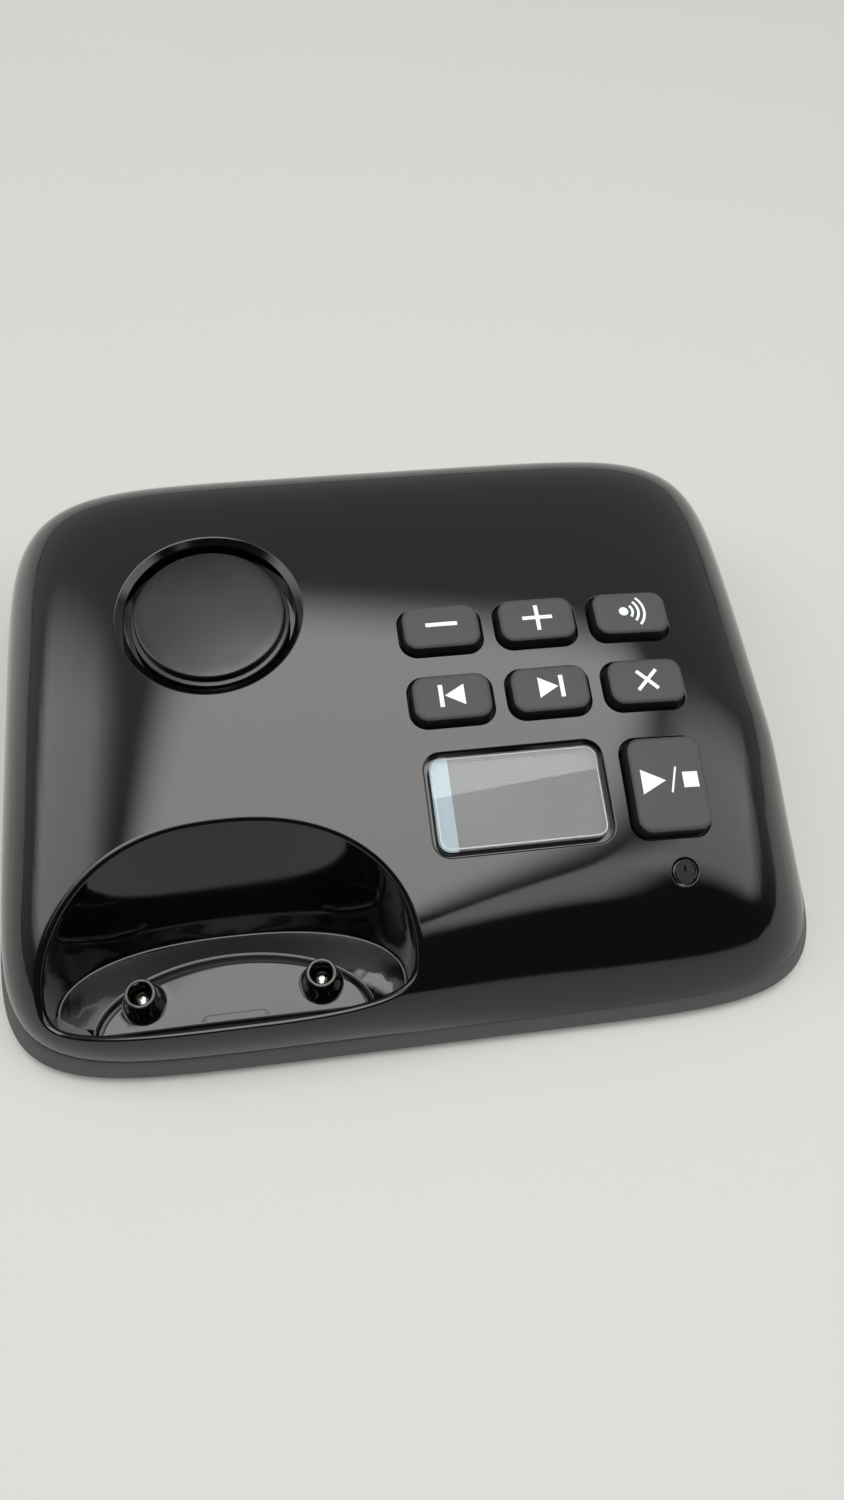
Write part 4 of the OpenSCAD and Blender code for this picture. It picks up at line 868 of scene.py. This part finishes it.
def add(tree, kind, inputs=None, **settings):
    """Adds a node with its settings; inputs maps a socket to a value or another socket."""
    node = tree.nodes.new(kind)
    for key, value in settings.items():
        setattr(node, key, value)
    for key, value in (inputs or {}).items():
        if isinstance(value, bpy.types.NodeSocket):
            tree.links.new(value, node.inputs[key])
        else:
            node.inputs[key].default_value = value
    return node


def new_material(name):
    """A material with its tree and shader, and each point's place on the object."""
    material = bpy.data.materials.new(name)
    material.use_nodes = True
    tree = material.node_tree
    return material, tree, tree.nodes["Principled BSDF"], add(tree, "ShaderNodeTexCoord").outputs["Object"]


def finish(name, color, second, low, high, grain, bump=0.0, depth=0.01, **sockets):
    """A surface whose colour, and roughness from low to high, drift over a grain in mm, and
    whose bump has the given strength and depth in mm. sockets are set on the shader."""
    material, tree, shader, place = new_material(name)
    noise = add(tree, "ShaderNodeTexNoise", {"Vector": place, "Scale": per_mm(grain), "Detail": 3.0,
                                             "Roughness": 0.55}).outputs["Fac"]
    tint = add(tree, "ShaderNodeMix", {0: noise, 6: linear(color), 7: linear(second)}, data_type="RGBA")
    dull = add(tree, "ShaderNodeMapRange", {"Value": noise, "From Min": 0.3, "From Max": 0.7,
                                            "To Min": low, "To Max": high})
    tree.links.new(tint.outputs[2], shader.inputs["Base Color"])
    tree.links.new(dull.outputs["Result"], shader.inputs["Roughness"])
    if bump:
        relief = add(tree, "ShaderNodeBump", {"Height": noise, "Strength": bump, "Distance": depth * MM})
        tree.links.new(relief.outputs["Normal"], shader.inputs["Normal"])
    for key, value in sockets.items():
        shader.inputs[key.replace("_", " ")].default_value = value
    return material


BLACK_ABS = "#060607"
print("black of the cover in linear light:", [round(v, 4) for v in linear(BLACK_ABS)[:3]])

# %% [markdown]
# Polished ABS is dyed through and moulded in a mirror-bright tool: a black body
# under a clear, sharp reflection, with faint flow waves tens of millimetres long, fine lines
# drawn out along the flanks, a haze from wiping and a few dust specks.

# %% Polished ABS
def gloss_abs(name, color, rough, wave_depth):
    material, tree, shader, place = new_material(name)
    haze = add(tree, "ShaderNodeTexNoise", {"Vector": place, "Scale": per_mm(18), "Detail": 4.0}).outputs["Fac"]
    dust = add(tree, "ShaderNodeTexVoronoi", {"Vector": place, "Scale": per_mm(5.5), "Randomness": 1.0})
    speck = add(tree, "ShaderNodeMapRange", {"Value": dust.outputs["Distance"], "From Max": 0.022,
                                             "To Min": 1.0, "To Max": 0.0})
    rare = add(tree, "ShaderNodeMapRange", {"Value": haze, "From Min": 0.56, "From Max": 0.6})
    grit = add(tree, "ShaderNodeMath", {0: speck.outputs["Result"], 1: rare.outputs["Result"]},
               operation="MULTIPLY").outputs["Value"]
    tint = add(tree, "ShaderNodeMix", {0: grit, 6: linear(color), 7: linear("#6a6a66")}, data_type="RGBA")
    polish = add(tree, "ShaderNodeMapRange", {"Value": haze, "From Min": 0.35, "From Max": 0.7,
                                              "To Min": rough, "To Max": rough * 2.0})
    dull = add(tree, "ShaderNodeMath", {0: grit, 1: 0.5, 2: polish.outputs["Result"]}, operation="MULTIPLY_ADD")
    flow = add(tree, "ShaderNodeTexNoise", {"Vector": place, "Scale": per_mm(26), "Detail": 1.0})
    waves = add(tree, "ShaderNodeBump", {"Height": flow.outputs["Fac"], "Strength": 1.0,
                                         "Distance": wave_depth * MM})
    # fine drawn-out lines, only towards the left and right flanks, where the melt ran out
    drawn = add(tree, "ShaderNodeMapping", {"Vector": place, "Scale": (1.0, 0.1, 0.35)})
    lines = add(tree, "ShaderNodeTexNoise", {"Vector": drawn.outputs["Vector"], "Scale": per_mm(2.6),
                                             "Detail": 2.5})
    across = add(tree, "ShaderNodeSeparateXYZ", {"Vector": place})
    aside = add(tree, "ShaderNodeMath", {0: across.outputs["X"]}, operation="ABSOLUTE")
    flank = add(tree, "ShaderNodeMapRange", {"Value": aside.outputs["Value"], "From Min": 0.040,
                                             "From Max": 0.060}, interpolation_type="SMOOTHSTEP")
    streaks = add(tree, "ShaderNodeBump", {"Height": lines.outputs["Fac"], "Strength": flank.outputs["Result"],
                                           "Distance": 0.09 * MM, "Normal": waves.outputs["Normal"]})
    for output, socket in ((tint.outputs[2], "Base Color"), (dull.outputs["Value"], "Roughness"),
                           (streaks.outputs["Normal"], "Normal")):
        tree.links.new(output, shader.inputs[socket])
    shader.inputs["IOR"].default_value = 1.586
    return material


polished_abs = gloss_abs("polished_black_abs", BLACK_ABS, 0.045, 0.02)
polished_disc = gloss_abs("polished_black_abs_disc", "#070708", 0.05, 0.012)
# the speaker cover comes from a finer, less bright tool, which softens what it mirrors
satin_disc = gloss_abs("satin_black_speaker_cover", "#070708", 0.2, 0.012)
print("made", [m.name for m in (polished_abs, polished_disc, satin_disc)])

# %% [markdown]
# The other finishes that show are moulded, coated or printed. Those inside are plain, as they
# only show when a cover is taken off: plated and drawn metal with clear, slightly broken
# highlights, and moulded, foamed or pressed materials that scatter the light.

# %% Finishes that show
# spark erosion leaves an even fine grain in the tool, so the base is matt and a little grey;
# the grain is drawn coarser than the real one, so that it shows
textured_abs = finish("spark_textured_abs", "#414142", "#4c4c4d", 0.48, 0.62, 0.35, 0.7, 0.02, IOR=1.54)
# a sprayed soft coating dries to a fine peel: charcoal with hardly any highlight
key_coating = finish("soft_touch_key_coating", "#404041", "#454546", 0.55, 0.68, 0.22, 0.35, 0.008, IOR=1.45)
# bare moulded silicone, painted near-black on the key sides: partly its own colour, partly painted shade
key_sides_painted_shade = finish("silicone_sides_painted_shade", "#0b0b0c", "#0e0e0f", 0.45, 0.6, 0.3, 0.3, 0.006, IOR=1.42)
# thick ink pressed through a screen: an even, flat white
screen_paint = finish("screen_printed_white", "#e4ece9", "#dbe4e1", 0.5, 0.62, 0.15, 0.3, 0.004)
# the sides of the lens painted black: painted shade, so the groove round the lens reads dark
lens_sides_painted_shade = finish("lens_sides_painted_black_shade", "#050506", "#08080a", 0.5, 0.65, 0.5, 0.2, 0.004)
# a pale ring round the lens face: a painted highlight of its bevel, frosted and pale
lens_rim_painted_highlight = finish("acrylic_rim_painted_highlight", "#b9bdbe", "#d3d7d8", 0.3, 0.45, 0.9, 0.3, 0.006, IOR=1.49)
# cast between glass plates, so it is clear and almost without haze
clear_acrylic = finish("cast_acrylic", "#f4f7f8", "#f4f7f8", 0.02, 0.035, 12.0, IOR=1.49,
                       Transmission_Weight=1.0)
print("finishes that show:", len(bpy.data.materials))

# %% Finishes of the solid nodes that keep their own shape
plain_finishes = (
    # name, two colours, roughness from and to, grain, bump strength and depth, nodes
    # soft mouldings from a textured tool, dull all over
    ("moulded_rubber", "#171717", "#1f1f1f", 0.7, 0.85, 0.4, 0.6, 0.02, "rubber_feet"),
    ("moulded_silicone", "#2a2a2b", "#303031", 0.5, 0.65, 0.8, 0.3, 0.01, "keypad_mat"),
    # lacquer flowed over the board and baked, with a low green sheen
    ("fibreglass_solder_mask", "#0f4a2a", "#135733", 0.3, 0.42, 0.8, 0.4, 0.02, "key_board main_board"),
    # foamed, pressed and sintered: open or grainy, so they scatter the light
    ("open_cell_foam", "#232324", "#303031", 0.85, 0.95, 0.5, 0.9, 0.08, "speaker_gasket"),
    ("pressed_paper_pulp", "#1c1b1a", "#2a2826", 0.8, 0.92, 0.4, 0.8, 0.05, "speaker_cone"),
    ("sintered_ferrite", "#2b2b2d", "#38383a", 0.5, 0.65, 0.4, 0.6, 0.03, "speaker_magnet"),
    # drawn, moulded or shrunk vinyl, epoxy and nylon, with a waxy highlight
    ("vinyl_wire_jacket", "#8a1712", "#9c1f18", 0.35, 0.5, 1.0, 0.2, 0.01, "speaker_leads"),
    ("moulded_epoxy", "#161617", "#202021", 0.6, 0.75, 0.2, 0.5, 0.01, "processor_chips"),
    ("shrunk_vinyl_sleeve", "#11172b", "#171f38", 0.3, 0.42, 1.2, 0.2, 0.01, "capacitors"),
    ("moulded_nylon", "#121213", "#19191a", 0.45, 0.6, 0.5, 0.3, 0.01, "line_socket power_socket"),
    ("flat_cable_vinyl", "#a8a8a8", "#b4b4b4", 0.4, 0.5, 1.0, 0.2, 0.01, "ribbon_cable"),
    ("natural_nylon", "#d6d0bd", "#ccc6b2", 0.45, 0.6, 0.6, 0.3, 0.01, "ribbon_connectors"),
    ("glass_filled_plastic", "#cfcfc8", "#c4c4bd", 0.4, 0.5, 1.0, 0.2, 0.01, "display_module"),
    # flat films behind the lens, smooth and even
    ("printed_display_film", "#4f5254", "#55585a", 0.3, 0.4, 6.0, 0.1, 0.002, "display_face"),
    ("pale_diffuser_film", "#b9d0de", "#c3d8e4", 0.4, 0.5, 0.7, 0.3, 0.004, "display_strip"),
)
metal_finishes = (
    # thin plating over turned metal: bright, with a slightly broken highlight
    ("zinc_plated_steel", "#b9bcc0", "#a3a6aa", 0.25, 0.4, 0.5, 0.3, 0.01,
     "case_screws key_board_screws main_board_screws"),
    ("nickel_plated_brass", "#cfcac2", "#beb8ae", 0.12, 0.25, 0.6, 0.25, 0.01,
     "contact_pin_left contact_pin_right power_socket_pin"),
    ("gold_flashed_copper", "#d9b365", "#c79f50", 0.2, 0.35, 0.6, 0.2, 0.005,
     "key_contacts contact_pads line_socket_wires"),
    # drawn and rolled metal, finely lined by the die
    ("drawn_spring_wire", "#b5b5b6", "#9d9d9f", 0.2, 0.35, 0.3, 0.2, 0.005,
     "contact_spring_left contact_spring_right"),
    ("tinned_sheet_steel", "#c4c4c2", "#b0b0ae", 0.22, 0.4, 2.5, 0.2, 0.01, "shield_can antennas crystal"),
    # pressed sheet and drawn cans, a little duller than the plating
    ("pressed_zinc_steel", "#a5a7aa", "#8f9194", 0.35, 0.5, 1.5, 0.3, 0.02, "speaker_frame"),
    ("drawn_aluminium_can", "#c0c1c2", "#aeafb0", 0.25, 0.4, 0.8, 0.2, 0.01, "microphone_capsule"),
)
for metallic, rows in ((0.0, plain_finishes), (1.0, metal_finishes)):
    for *look, nodes in rows:
        material = finish(*look, Metallic=metallic)
        for node in nodes.split():
            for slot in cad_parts[node].material_slots:
                slot.material = material
print("finishes:", len(bpy.data.materials))

# %% [markdown]
# ## Pieces
# Each piece now takes its finish, stands for its solid node, and rides on its body.

# %% Cover and base
def stands_for(piece, node, body="housing"):
    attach(piece, body)
    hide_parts(node)


stands_for(build(cover, "polished_top_cover", [polished_abs]), "top_cover")
stands_for(build(base, "textured_base", [textured_abs], sharp=35), "bottom_cover")
print("cover and base in place")

# %% Speaker cover
DISC_R, DISC_EDGE, DOME_R, DOME_EDGE = 11.5, -0.4, 10.6, -0.31
dome = [(0.0, -0.15), (2.0, -0.155), (4.0, -0.172), (6.0, -0.2), (8.0, -0.24), (9.5, -0.28),
        (DOME_R, DOME_EDGE)]
rim = rounded_profile([(DOME_R, DOME_EDGE), (DISC_R, DISC_EDGE), (DISC_R, -1.8), (12.2, -1.9), (12.2, -2.5),
                       (10.8, -2.5)], [0.35, 0.2, 0.15, 0.1])
stalk = [(10.8, -1.6), (3.0, -1.6), (3.0, -3.6), (0.0, -3.6)]
# a small tilt, which shifts what the disc mirrors
disc_turn = np.array(Matrix.Rotation(math.radians(-1.4), 3, "X").transposed())
speaker_piece = lathe("polished_speaker_cover", (dome + rim[1:] + stalk)[::-1],
                      lambda local: speaker_seat.place(np.asarray(local, float) @ disc_turn),
                      [satin_disc], 120)
stands_for(speaker_piece, "speaker_cover")
print("speaker cover:", len(speaker_piece.data.vertices), "points")

# %% Microphone insert
nose = Skin()
ring, _ = circle(1.0, 48)
boot = [(3.45, -5.6), (3.45, -2.0), (1.9, -2.0), (1.9, -0.1), (1.82, -0.02), (1.74, 0.0), (1.7, -0.03),
        (1.68, -0.22), (1.54, -0.22), (1.52, -0.03), (1.48, 0.0)]
loops = [nose.add(mic_seat.at(ring * r, h)) for r, h in boot]
for a, b in zip(loops, loops[1:]):
    nose.band(b, a)
nose.cap(loops[0], flip=True)
slit = rounded_rect(0.34, 1.3, 0.16, turns=5)[0] + [0.0, 0.35]
slit_edge, slit_foot = nose.add(mic_seat.at(slit, 0.0)), nose.add(mic_seat.at(slit, -0.5))
nose.band(slit_edge, slit_foot)
nose.cap(slit_foot)
nose.patch(loops[-1], [slit_edge], ring * 1.48, [slit], 0.4, lambda g: (mic_seat.at(g, 0.0), UP))
nose_piece = build(nose, "polished_microphone_nose", [polished_disc], sharp=30)
stands_for(nose_piece, "microphone_boot")
print("microphone nose:", len(nose.points), "points")

# %% [markdown]
# The keys' symbols are printed. Each is a flat drawing, filled and then laid a few hundredths
# of a millimetre over the crowned key top, so that it bends with it.

# %% Keys and their symbols
INK = 0.03


def steps_along(corners, step=0.35):
    """A closed drawing with points added along its sides."""
    points = []
    for i, p in enumerate(corners):
        p, q = np.array(p, float), np.array(corners[(i + 1) % len(corners)], float)
        n = max(1, int(round(np.hypot(*(q - p)) / step)))
        points += [p + (q - p) * k / n for k in range(n)]
    return np.array(points)


def bar(x1, y1, x2, y2, thick):
    p, q = np.array([x1, y1], float), np.array([x2, y2], float)
    d = (q - p) / np.hypot(*(q - p))
    s = np.array([-d[1], d[0]]) * thick / 2
    return [tuple(v) for v in (p - s, q - s, q + s, p + s)]


def plus(wide, high, half):
    """A plus sign, anticlockwise from the foot of its upright."""
    quarter = [(-half, -high), (half, -high), (half, -half), (wide, -half), (wide, half), (half, half)]
    return quarter + [(-x, -y) for x, y in quarter]


def arc_band(cx, cy, r, thick, angle):
    a = np.radians(np.linspace(-angle, angle, 18))
    return [(cx + (r + side * thick / 2) * math.cos(t), cy + (r + side * thick / 2) * math.sin(t))
            for side in (1, -1) for t in a[::side]]


dot = [(-1.25 + 0.75 * math.cos(t), 0.75 * math.sin(t)) for t in np.radians(np.arange(0, 360, 15))]
symbols = {
    "key_volume_down": [bar(-2.45, 0.1, 2.45, 0.1, 0.68)],
    "key_volume_up": [plus(2.35, 2.2, 0.31)],
    "key_page": [dot] + [arc_band(-1.25, 0, r, 0.42, angle)
                         for r, angle in ((1.45, 42), (2.4, 44), (3.35, 45))],
    "key_previous": [bar(-1.7, -1.75, -1.7, 1.85, 0.66), [(-1.15, 0.05), (1.85, -1.65), (1.85, 1.75)]],
    "key_next": [[(1.15, 0.05), (-1.85, 1.75), (-1.85, -1.65)], bar(1.7, -1.75, 1.7, 1.85, 0.66)],
    "key_delete": [[(x * 0.5 - y * 0.46, x * 0.5 + y * 0.46)
                    for x, y in np.roll(plus(3.3, 3.3, 0.42), 2, axis=0)]],
    "key_play_stop": [[(-4.4, -1.5), (-0.7, 0.4), (-4.4, 2.3)], bar(0.0, -1.5, 1.1, 2.4, 0.3),
                      [(2.0, -0.85), (4.4, -0.85), (4.4, 1.55), (2.0, 1.55)]],
}


def print_symbol(name, seat, w, d, drawings, body):
    skin = Skin()
    for drawing in drawings:
        uv = steps_along(drawing)
        top = skin.add(seat.at(uv, key_top(uv, w, d) + INK))
        skin.band(top, skin.add(seat.at(uv, key_top(uv, w, d) - INK)))
        skin.patch(top, [], uv, [], 0.45, lambda g: (seat.at(g, key_top(g, w, d) + INK), UP))
    piece = build(skin, name, [screen_paint], sharp=40)
    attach(piece, body)


for name, (seat, w, d) in key_sizes.items():
    piece = soft_key("soft_" + name, seat, w, d, [key_coating, key_sides_painted_shade])
    stands_for(piece, name, name + "_body")
    print_symbol("printed_symbol_" + name[4:], seat, w, d, symbols[name], name + "_body")
print("keys:", len(key_sizes))

# %% [markdown]
# The display lens is a clear acrylic plate with a rolled edge, standing in a groove. Its sides
# are painted black as painted shade, so the groove reads as a black line, and a pale ring round its
# face is a painted highlight of the bevel. The pale strip and the grey film behind it are the solid nodes.

# %% Display lens
LENS_W, LENS_D = WINDOW_W - 2 * LENS_FIT, WINDOW_D - 2 * LENS_FIT
LENS_ROLL = 0.25
lens = Skin()
lens_uv, lens_out = rounded_rect(LENS_W, LENS_D, WINDOW_CORNER - LENS_FIT, turns=8)
edge_steps = [(0, -1.5), (0, -0.3)]
edge_steps += [(LENS_ROLL * (1 - math.cos(a)), -0.3 + LENS_ROLL * math.sin(a))
               for a in np.radians([20, 45, 70, 90])]
edge_steps += [(0.36, -0.05), (0.49, -0.05)]
loops = [lens.add(window_seat.at(lens_uv - lens_out * inset, z)) for inset, z in edge_steps]
for k, (a, b) in enumerate(zip(loops, loops[1:])):
    # slot 1: the sides, painted black as painted shade in the groove; slot 2: the flat ring, a painted
    # highlight
    lens.slot = {0: 1, len(loops) - 2: 2}.get(k, 0)
    lens.band(b, a)
lens.slot = 0
lens.cap(loops[-1])
lens.cap(loops[0], flip=True)
lens_piece = build(lens, "clear_display_lens", [clear_acrylic, lens_sides_painted_shade, lens_rim_painted_highlight], sharp=35)
stands_for(lens_piece, "display_lens")
print("lens", LENS_W, "x", LENS_D, "mm")

# %% [markdown]
# The contact carrier closes the floor of the well: a crowned mound with a softly rolled edge,
# two tapered posts that guard the sprung contacts, and the outline of its snap tab.

# %% Contact carrier
POST_Y, POST_SPREAD, POST_BASE = -41.1, 12.85, 8.09
ROLL_W, ROLL_H = 1.4, 0.9
carrier = Skin()


def mound_normals(g):
    """Unit normals of the crowned top, from its exact slopes."""
    aside = np.minimum(np.abs(g[:, 0] - WELL_X) / CARRIER_W, 1.0)
    slope_x = -MOUND_DROP * np.sign(g[:, 0] - WELL_X) * math.pi / 2 / CARRIER_W * np.sin(aside * math.pi)
    n = np.column_stack([-slope_x, (g[:, 1] - MOUND_Y) / MOUND_R, np.ones(len(g))])
    return n / np.linalg.norm(n, axis=1, keepdims=True)


foot = carrier_loop(0)
level = outward(foot)
previous = carrier.add(at_height(foot, 5.2), level)
for k in range(11):
    a = math.pi / 2 * k / 10
    top_ring = carrier_loop(ROLL_W * (1 - math.cos(a)))
    z = mound(top_ring) - ROLL_H + ROLL_H * math.sin(a)
    n = level * math.cos(a) * ROLL_H + mound_normals(top_ring) * math.sin(a) * ROLL_W
    loop = carrier.add(np.column_stack([top_ring, z]), n)
    carrier.band(loop, previous)
    previous = loop

# radius, height over the mound and tilt of the surface, from the flared foot to the bore
post_profile = (
    (3.3, 0.0, 84), (3.1, 0.05, 66), (2.93, 0.18, 48), (2.82, 0.42, 27), (2.74, 0.8, 13), (2.55, 2.0, 7),
    (2.36, 3.4, 7), (2.24, 4.3, 12), (2.2, 4.45, 35), (2.12, 4.56, 62), (2.0, 4.6, 90), (1.84, 4.6, 90),
    (1.74, 4.56, 120), (1.66, 4.46, 160), (1.65, 4.3, 180), (1.65, 1.5, 180), (1.65, -1.4, 180),
)
post_loops, post_drawings = [], []
ring, _ = circle(1.0, 48)
for x in (WELL_X - POST_SPREAD, WELL_X + POST_SPREAD):
    rings = []
    for r, h, tilt in post_profile:
        p = ring * r + [x, POST_Y]
        k = max(0.0, 1 - h / 0.9)
        z = mound(p) * k + POST_BASE * (1 - k) + h
        n = at_height(ring * math.cos(math.radians(tilt)), math.sin(math.radians(tilt)))
        rings.append(carrier.add(np.column_stack([p, z]), n))
    for a, b in zip(rings, rings[1:]):
        carrier.band(b, a)
    post_loops.append(rings[0])
    post_drawings.append(ring * 3.25 + [x, POST_Y])


def tab_side(x, y, r, drop):
    """One end of the snap tab's slit: a leg and a round corner, seen from above."""
    side = 1 if x > WELL_X else -1
    return [(x, y - drop)] + [(x - side * r * (1 - math.cos(a)), y - r * (1 - math.sin(a)))
                              for a in np.radians(np.linspace(0, 90, 6))]


tab_outer = tab_side(-33.5, -43.7, 0.7, 1.15) + tab_side(-24.1, -43.7, 0.7, 1.15)[::-1]
tab_inner = tab_side(-33.22, -43.98, 0.42, 0.87) + tab_side(-24.38, -43.98, 0.42, 0.87)[::-1]
tab = steps_along((tab_outer + tab_inner[::-1])[::-1], 0.6)
tab_loop = carrier.add(at_height(tab, mound(tab)), mound_normals(tab))
tab_foot = carrier.add(at_height(tab, mound(tab) - 0.6))
carrier.band(tab_loop, tab_foot)
carrier.cap(tab_foot)
carrier.patch(previous, post_loops + [tab_loop], top_ring, post_drawings + [tab], 1.0,
              lambda g: (at_height(g, mound(g)), mound_normals(g)))
stands_for(build(carrier, "polished_contact_carrier", [polished_disc]), "contact_carrier")
print("carrier:", len(carrier.points), "points")

# %% [markdown]
# ## Stage, light and the end
# A pale table under soft studio light. A polished black piece is drawn by what it mirrors, so
# the room is dim, with large soft panels: one overhead, slightly turned, that lies on the
# middle of the cover, a faint one ahead of it and a paler one to each side. They hang about a
# metre away, so the far table is dim and the steep sides stay black, as in the photograph. The
# room's own light is a grey that darkens from the back wall to the front.

# %% Table
table_mesh = bpy.data.meshes.new("table")
table_mesh.from_pydata([(-3, -3, 0), (3, -3, 0), (3, 3, 0), (-3, 3, 0)], [], [(0, 1, 2, 3)])
table = bpy.data.objects.new("table", table_mesh)
bpy.context.scene.collection.objects.link(table)
# even matt paint with no grain that shows, so it only carries the object's shadow
table_mesh.materials.append(finish("painted_table", "#bfc0bc", "#bfc0bc", 0.6, 0.6, 50))
print("table", [round(v, 1) for v in table.dimensions])

# %% Soft panels
def soft_panel(name, place, turn, half, soft, color, radiance):
    """An area light whose brightness fades out over soft metres beyond its half sizes."""
    light = bpy.data.lights.new(name, "AREA")
    light.shape = "RECTANGLE"
    light.size, light.size_y = (2 * (h + soft) for h in half)
    light.energy = radiance * math.pi * light.size * light.size_y
    light.color = linear(color)[:3]
    lamp = bpy.data.objects.new(name, light)
    lamp.location = place
    lamp.rotation_euler = turn
    light.use_nodes = True
    tree = light.node_tree
    point = add(tree, "ShaderNodeNewGeometry").outputs["Position"]
    vector = add(tree, "ShaderNodeMapping", {"Vector": point, "Location": place, "Rotation": turn},
                 vector_type="TEXTURE").outputs["Vector"]
    for operation, other in (("ABSOLUTE", (0, 0, 0)), ("SUBTRACT", (*half, 1.0)), ("MAXIMUM", (0, 0, 0))):
        inputs = {0: vector, 1: other}
        vector = add(tree, "ShaderNodeVectorMath", inputs, operation=operation).outputs["Vector"]
    gap = add(tree, "ShaderNodeVectorMath", {0: vector}, operation="LENGTH").outputs["Value"]
    level = add(tree, "ShaderNodeMapRange", {"Value": gap, "From Max": soft, "To Min": 1.0, "To Max": 0.0},
                interpolation_type="SMOOTHSTEP")
    tree.links.new(level.outputs["Result"], tree.nodes["Emission"].inputs["Strength"])
    bpy.context.scene.collection.objects.link(lamp)


level_turn = (0, 0, math.radians(-20))
soft_panel("overhead_panel", (0.01, -0.025, 0.9), level_turn, (0.22, 0.41), 0.16, "#fffdfa", 3.9)
soft_panel("front_panel", (0.06, -0.46, 0.9), level_turn, (0.24, 0.14), 0.26, "#fbfcfc", 1.9)
for name, place, half, soft, color, radiance in (
        ("right_panel", (0.74, -0.14, 0.64), (0.20, 0.26), 0.28, "#f2f7f4", 1.9),
        ("left_panel", (-0.74, 0.16, 0.64), (0.20, 0.22), 0.32, "#f4f8f6", 2.2)):
    soft_panel(name, place, (-Vector(place)).to_track_quat("-Z", "Y").to_euler(), half, soft, color, radiance)
world = bpy.data.worlds.new("studio")
world.use_nodes = True
bpy.context.scene.world = world
room = world.node_tree
toward = add(room, "ShaderNodeSeparateXYZ", {"Vector": add(room, "ShaderNodeTexCoord").outputs["Generated"]})
depth = add(room, "ShaderNodeMapRange", {"Value": toward.outputs["Y"], "From Min": -0.6, "From Max": 0.6},
            interpolation_type="SMOOTHSTEP")
shade = add(room, "ShaderNodeMix", {0: depth.outputs["Result"], 6: linear("#38393a"), 7: linear("#adb0b0")},
            data_type="RGBA")
room.links.new(shade.outputs[2], room.nodes["Background"].inputs["Color"])
bpy.context.scene.view_settings.view_transform = "Standard"
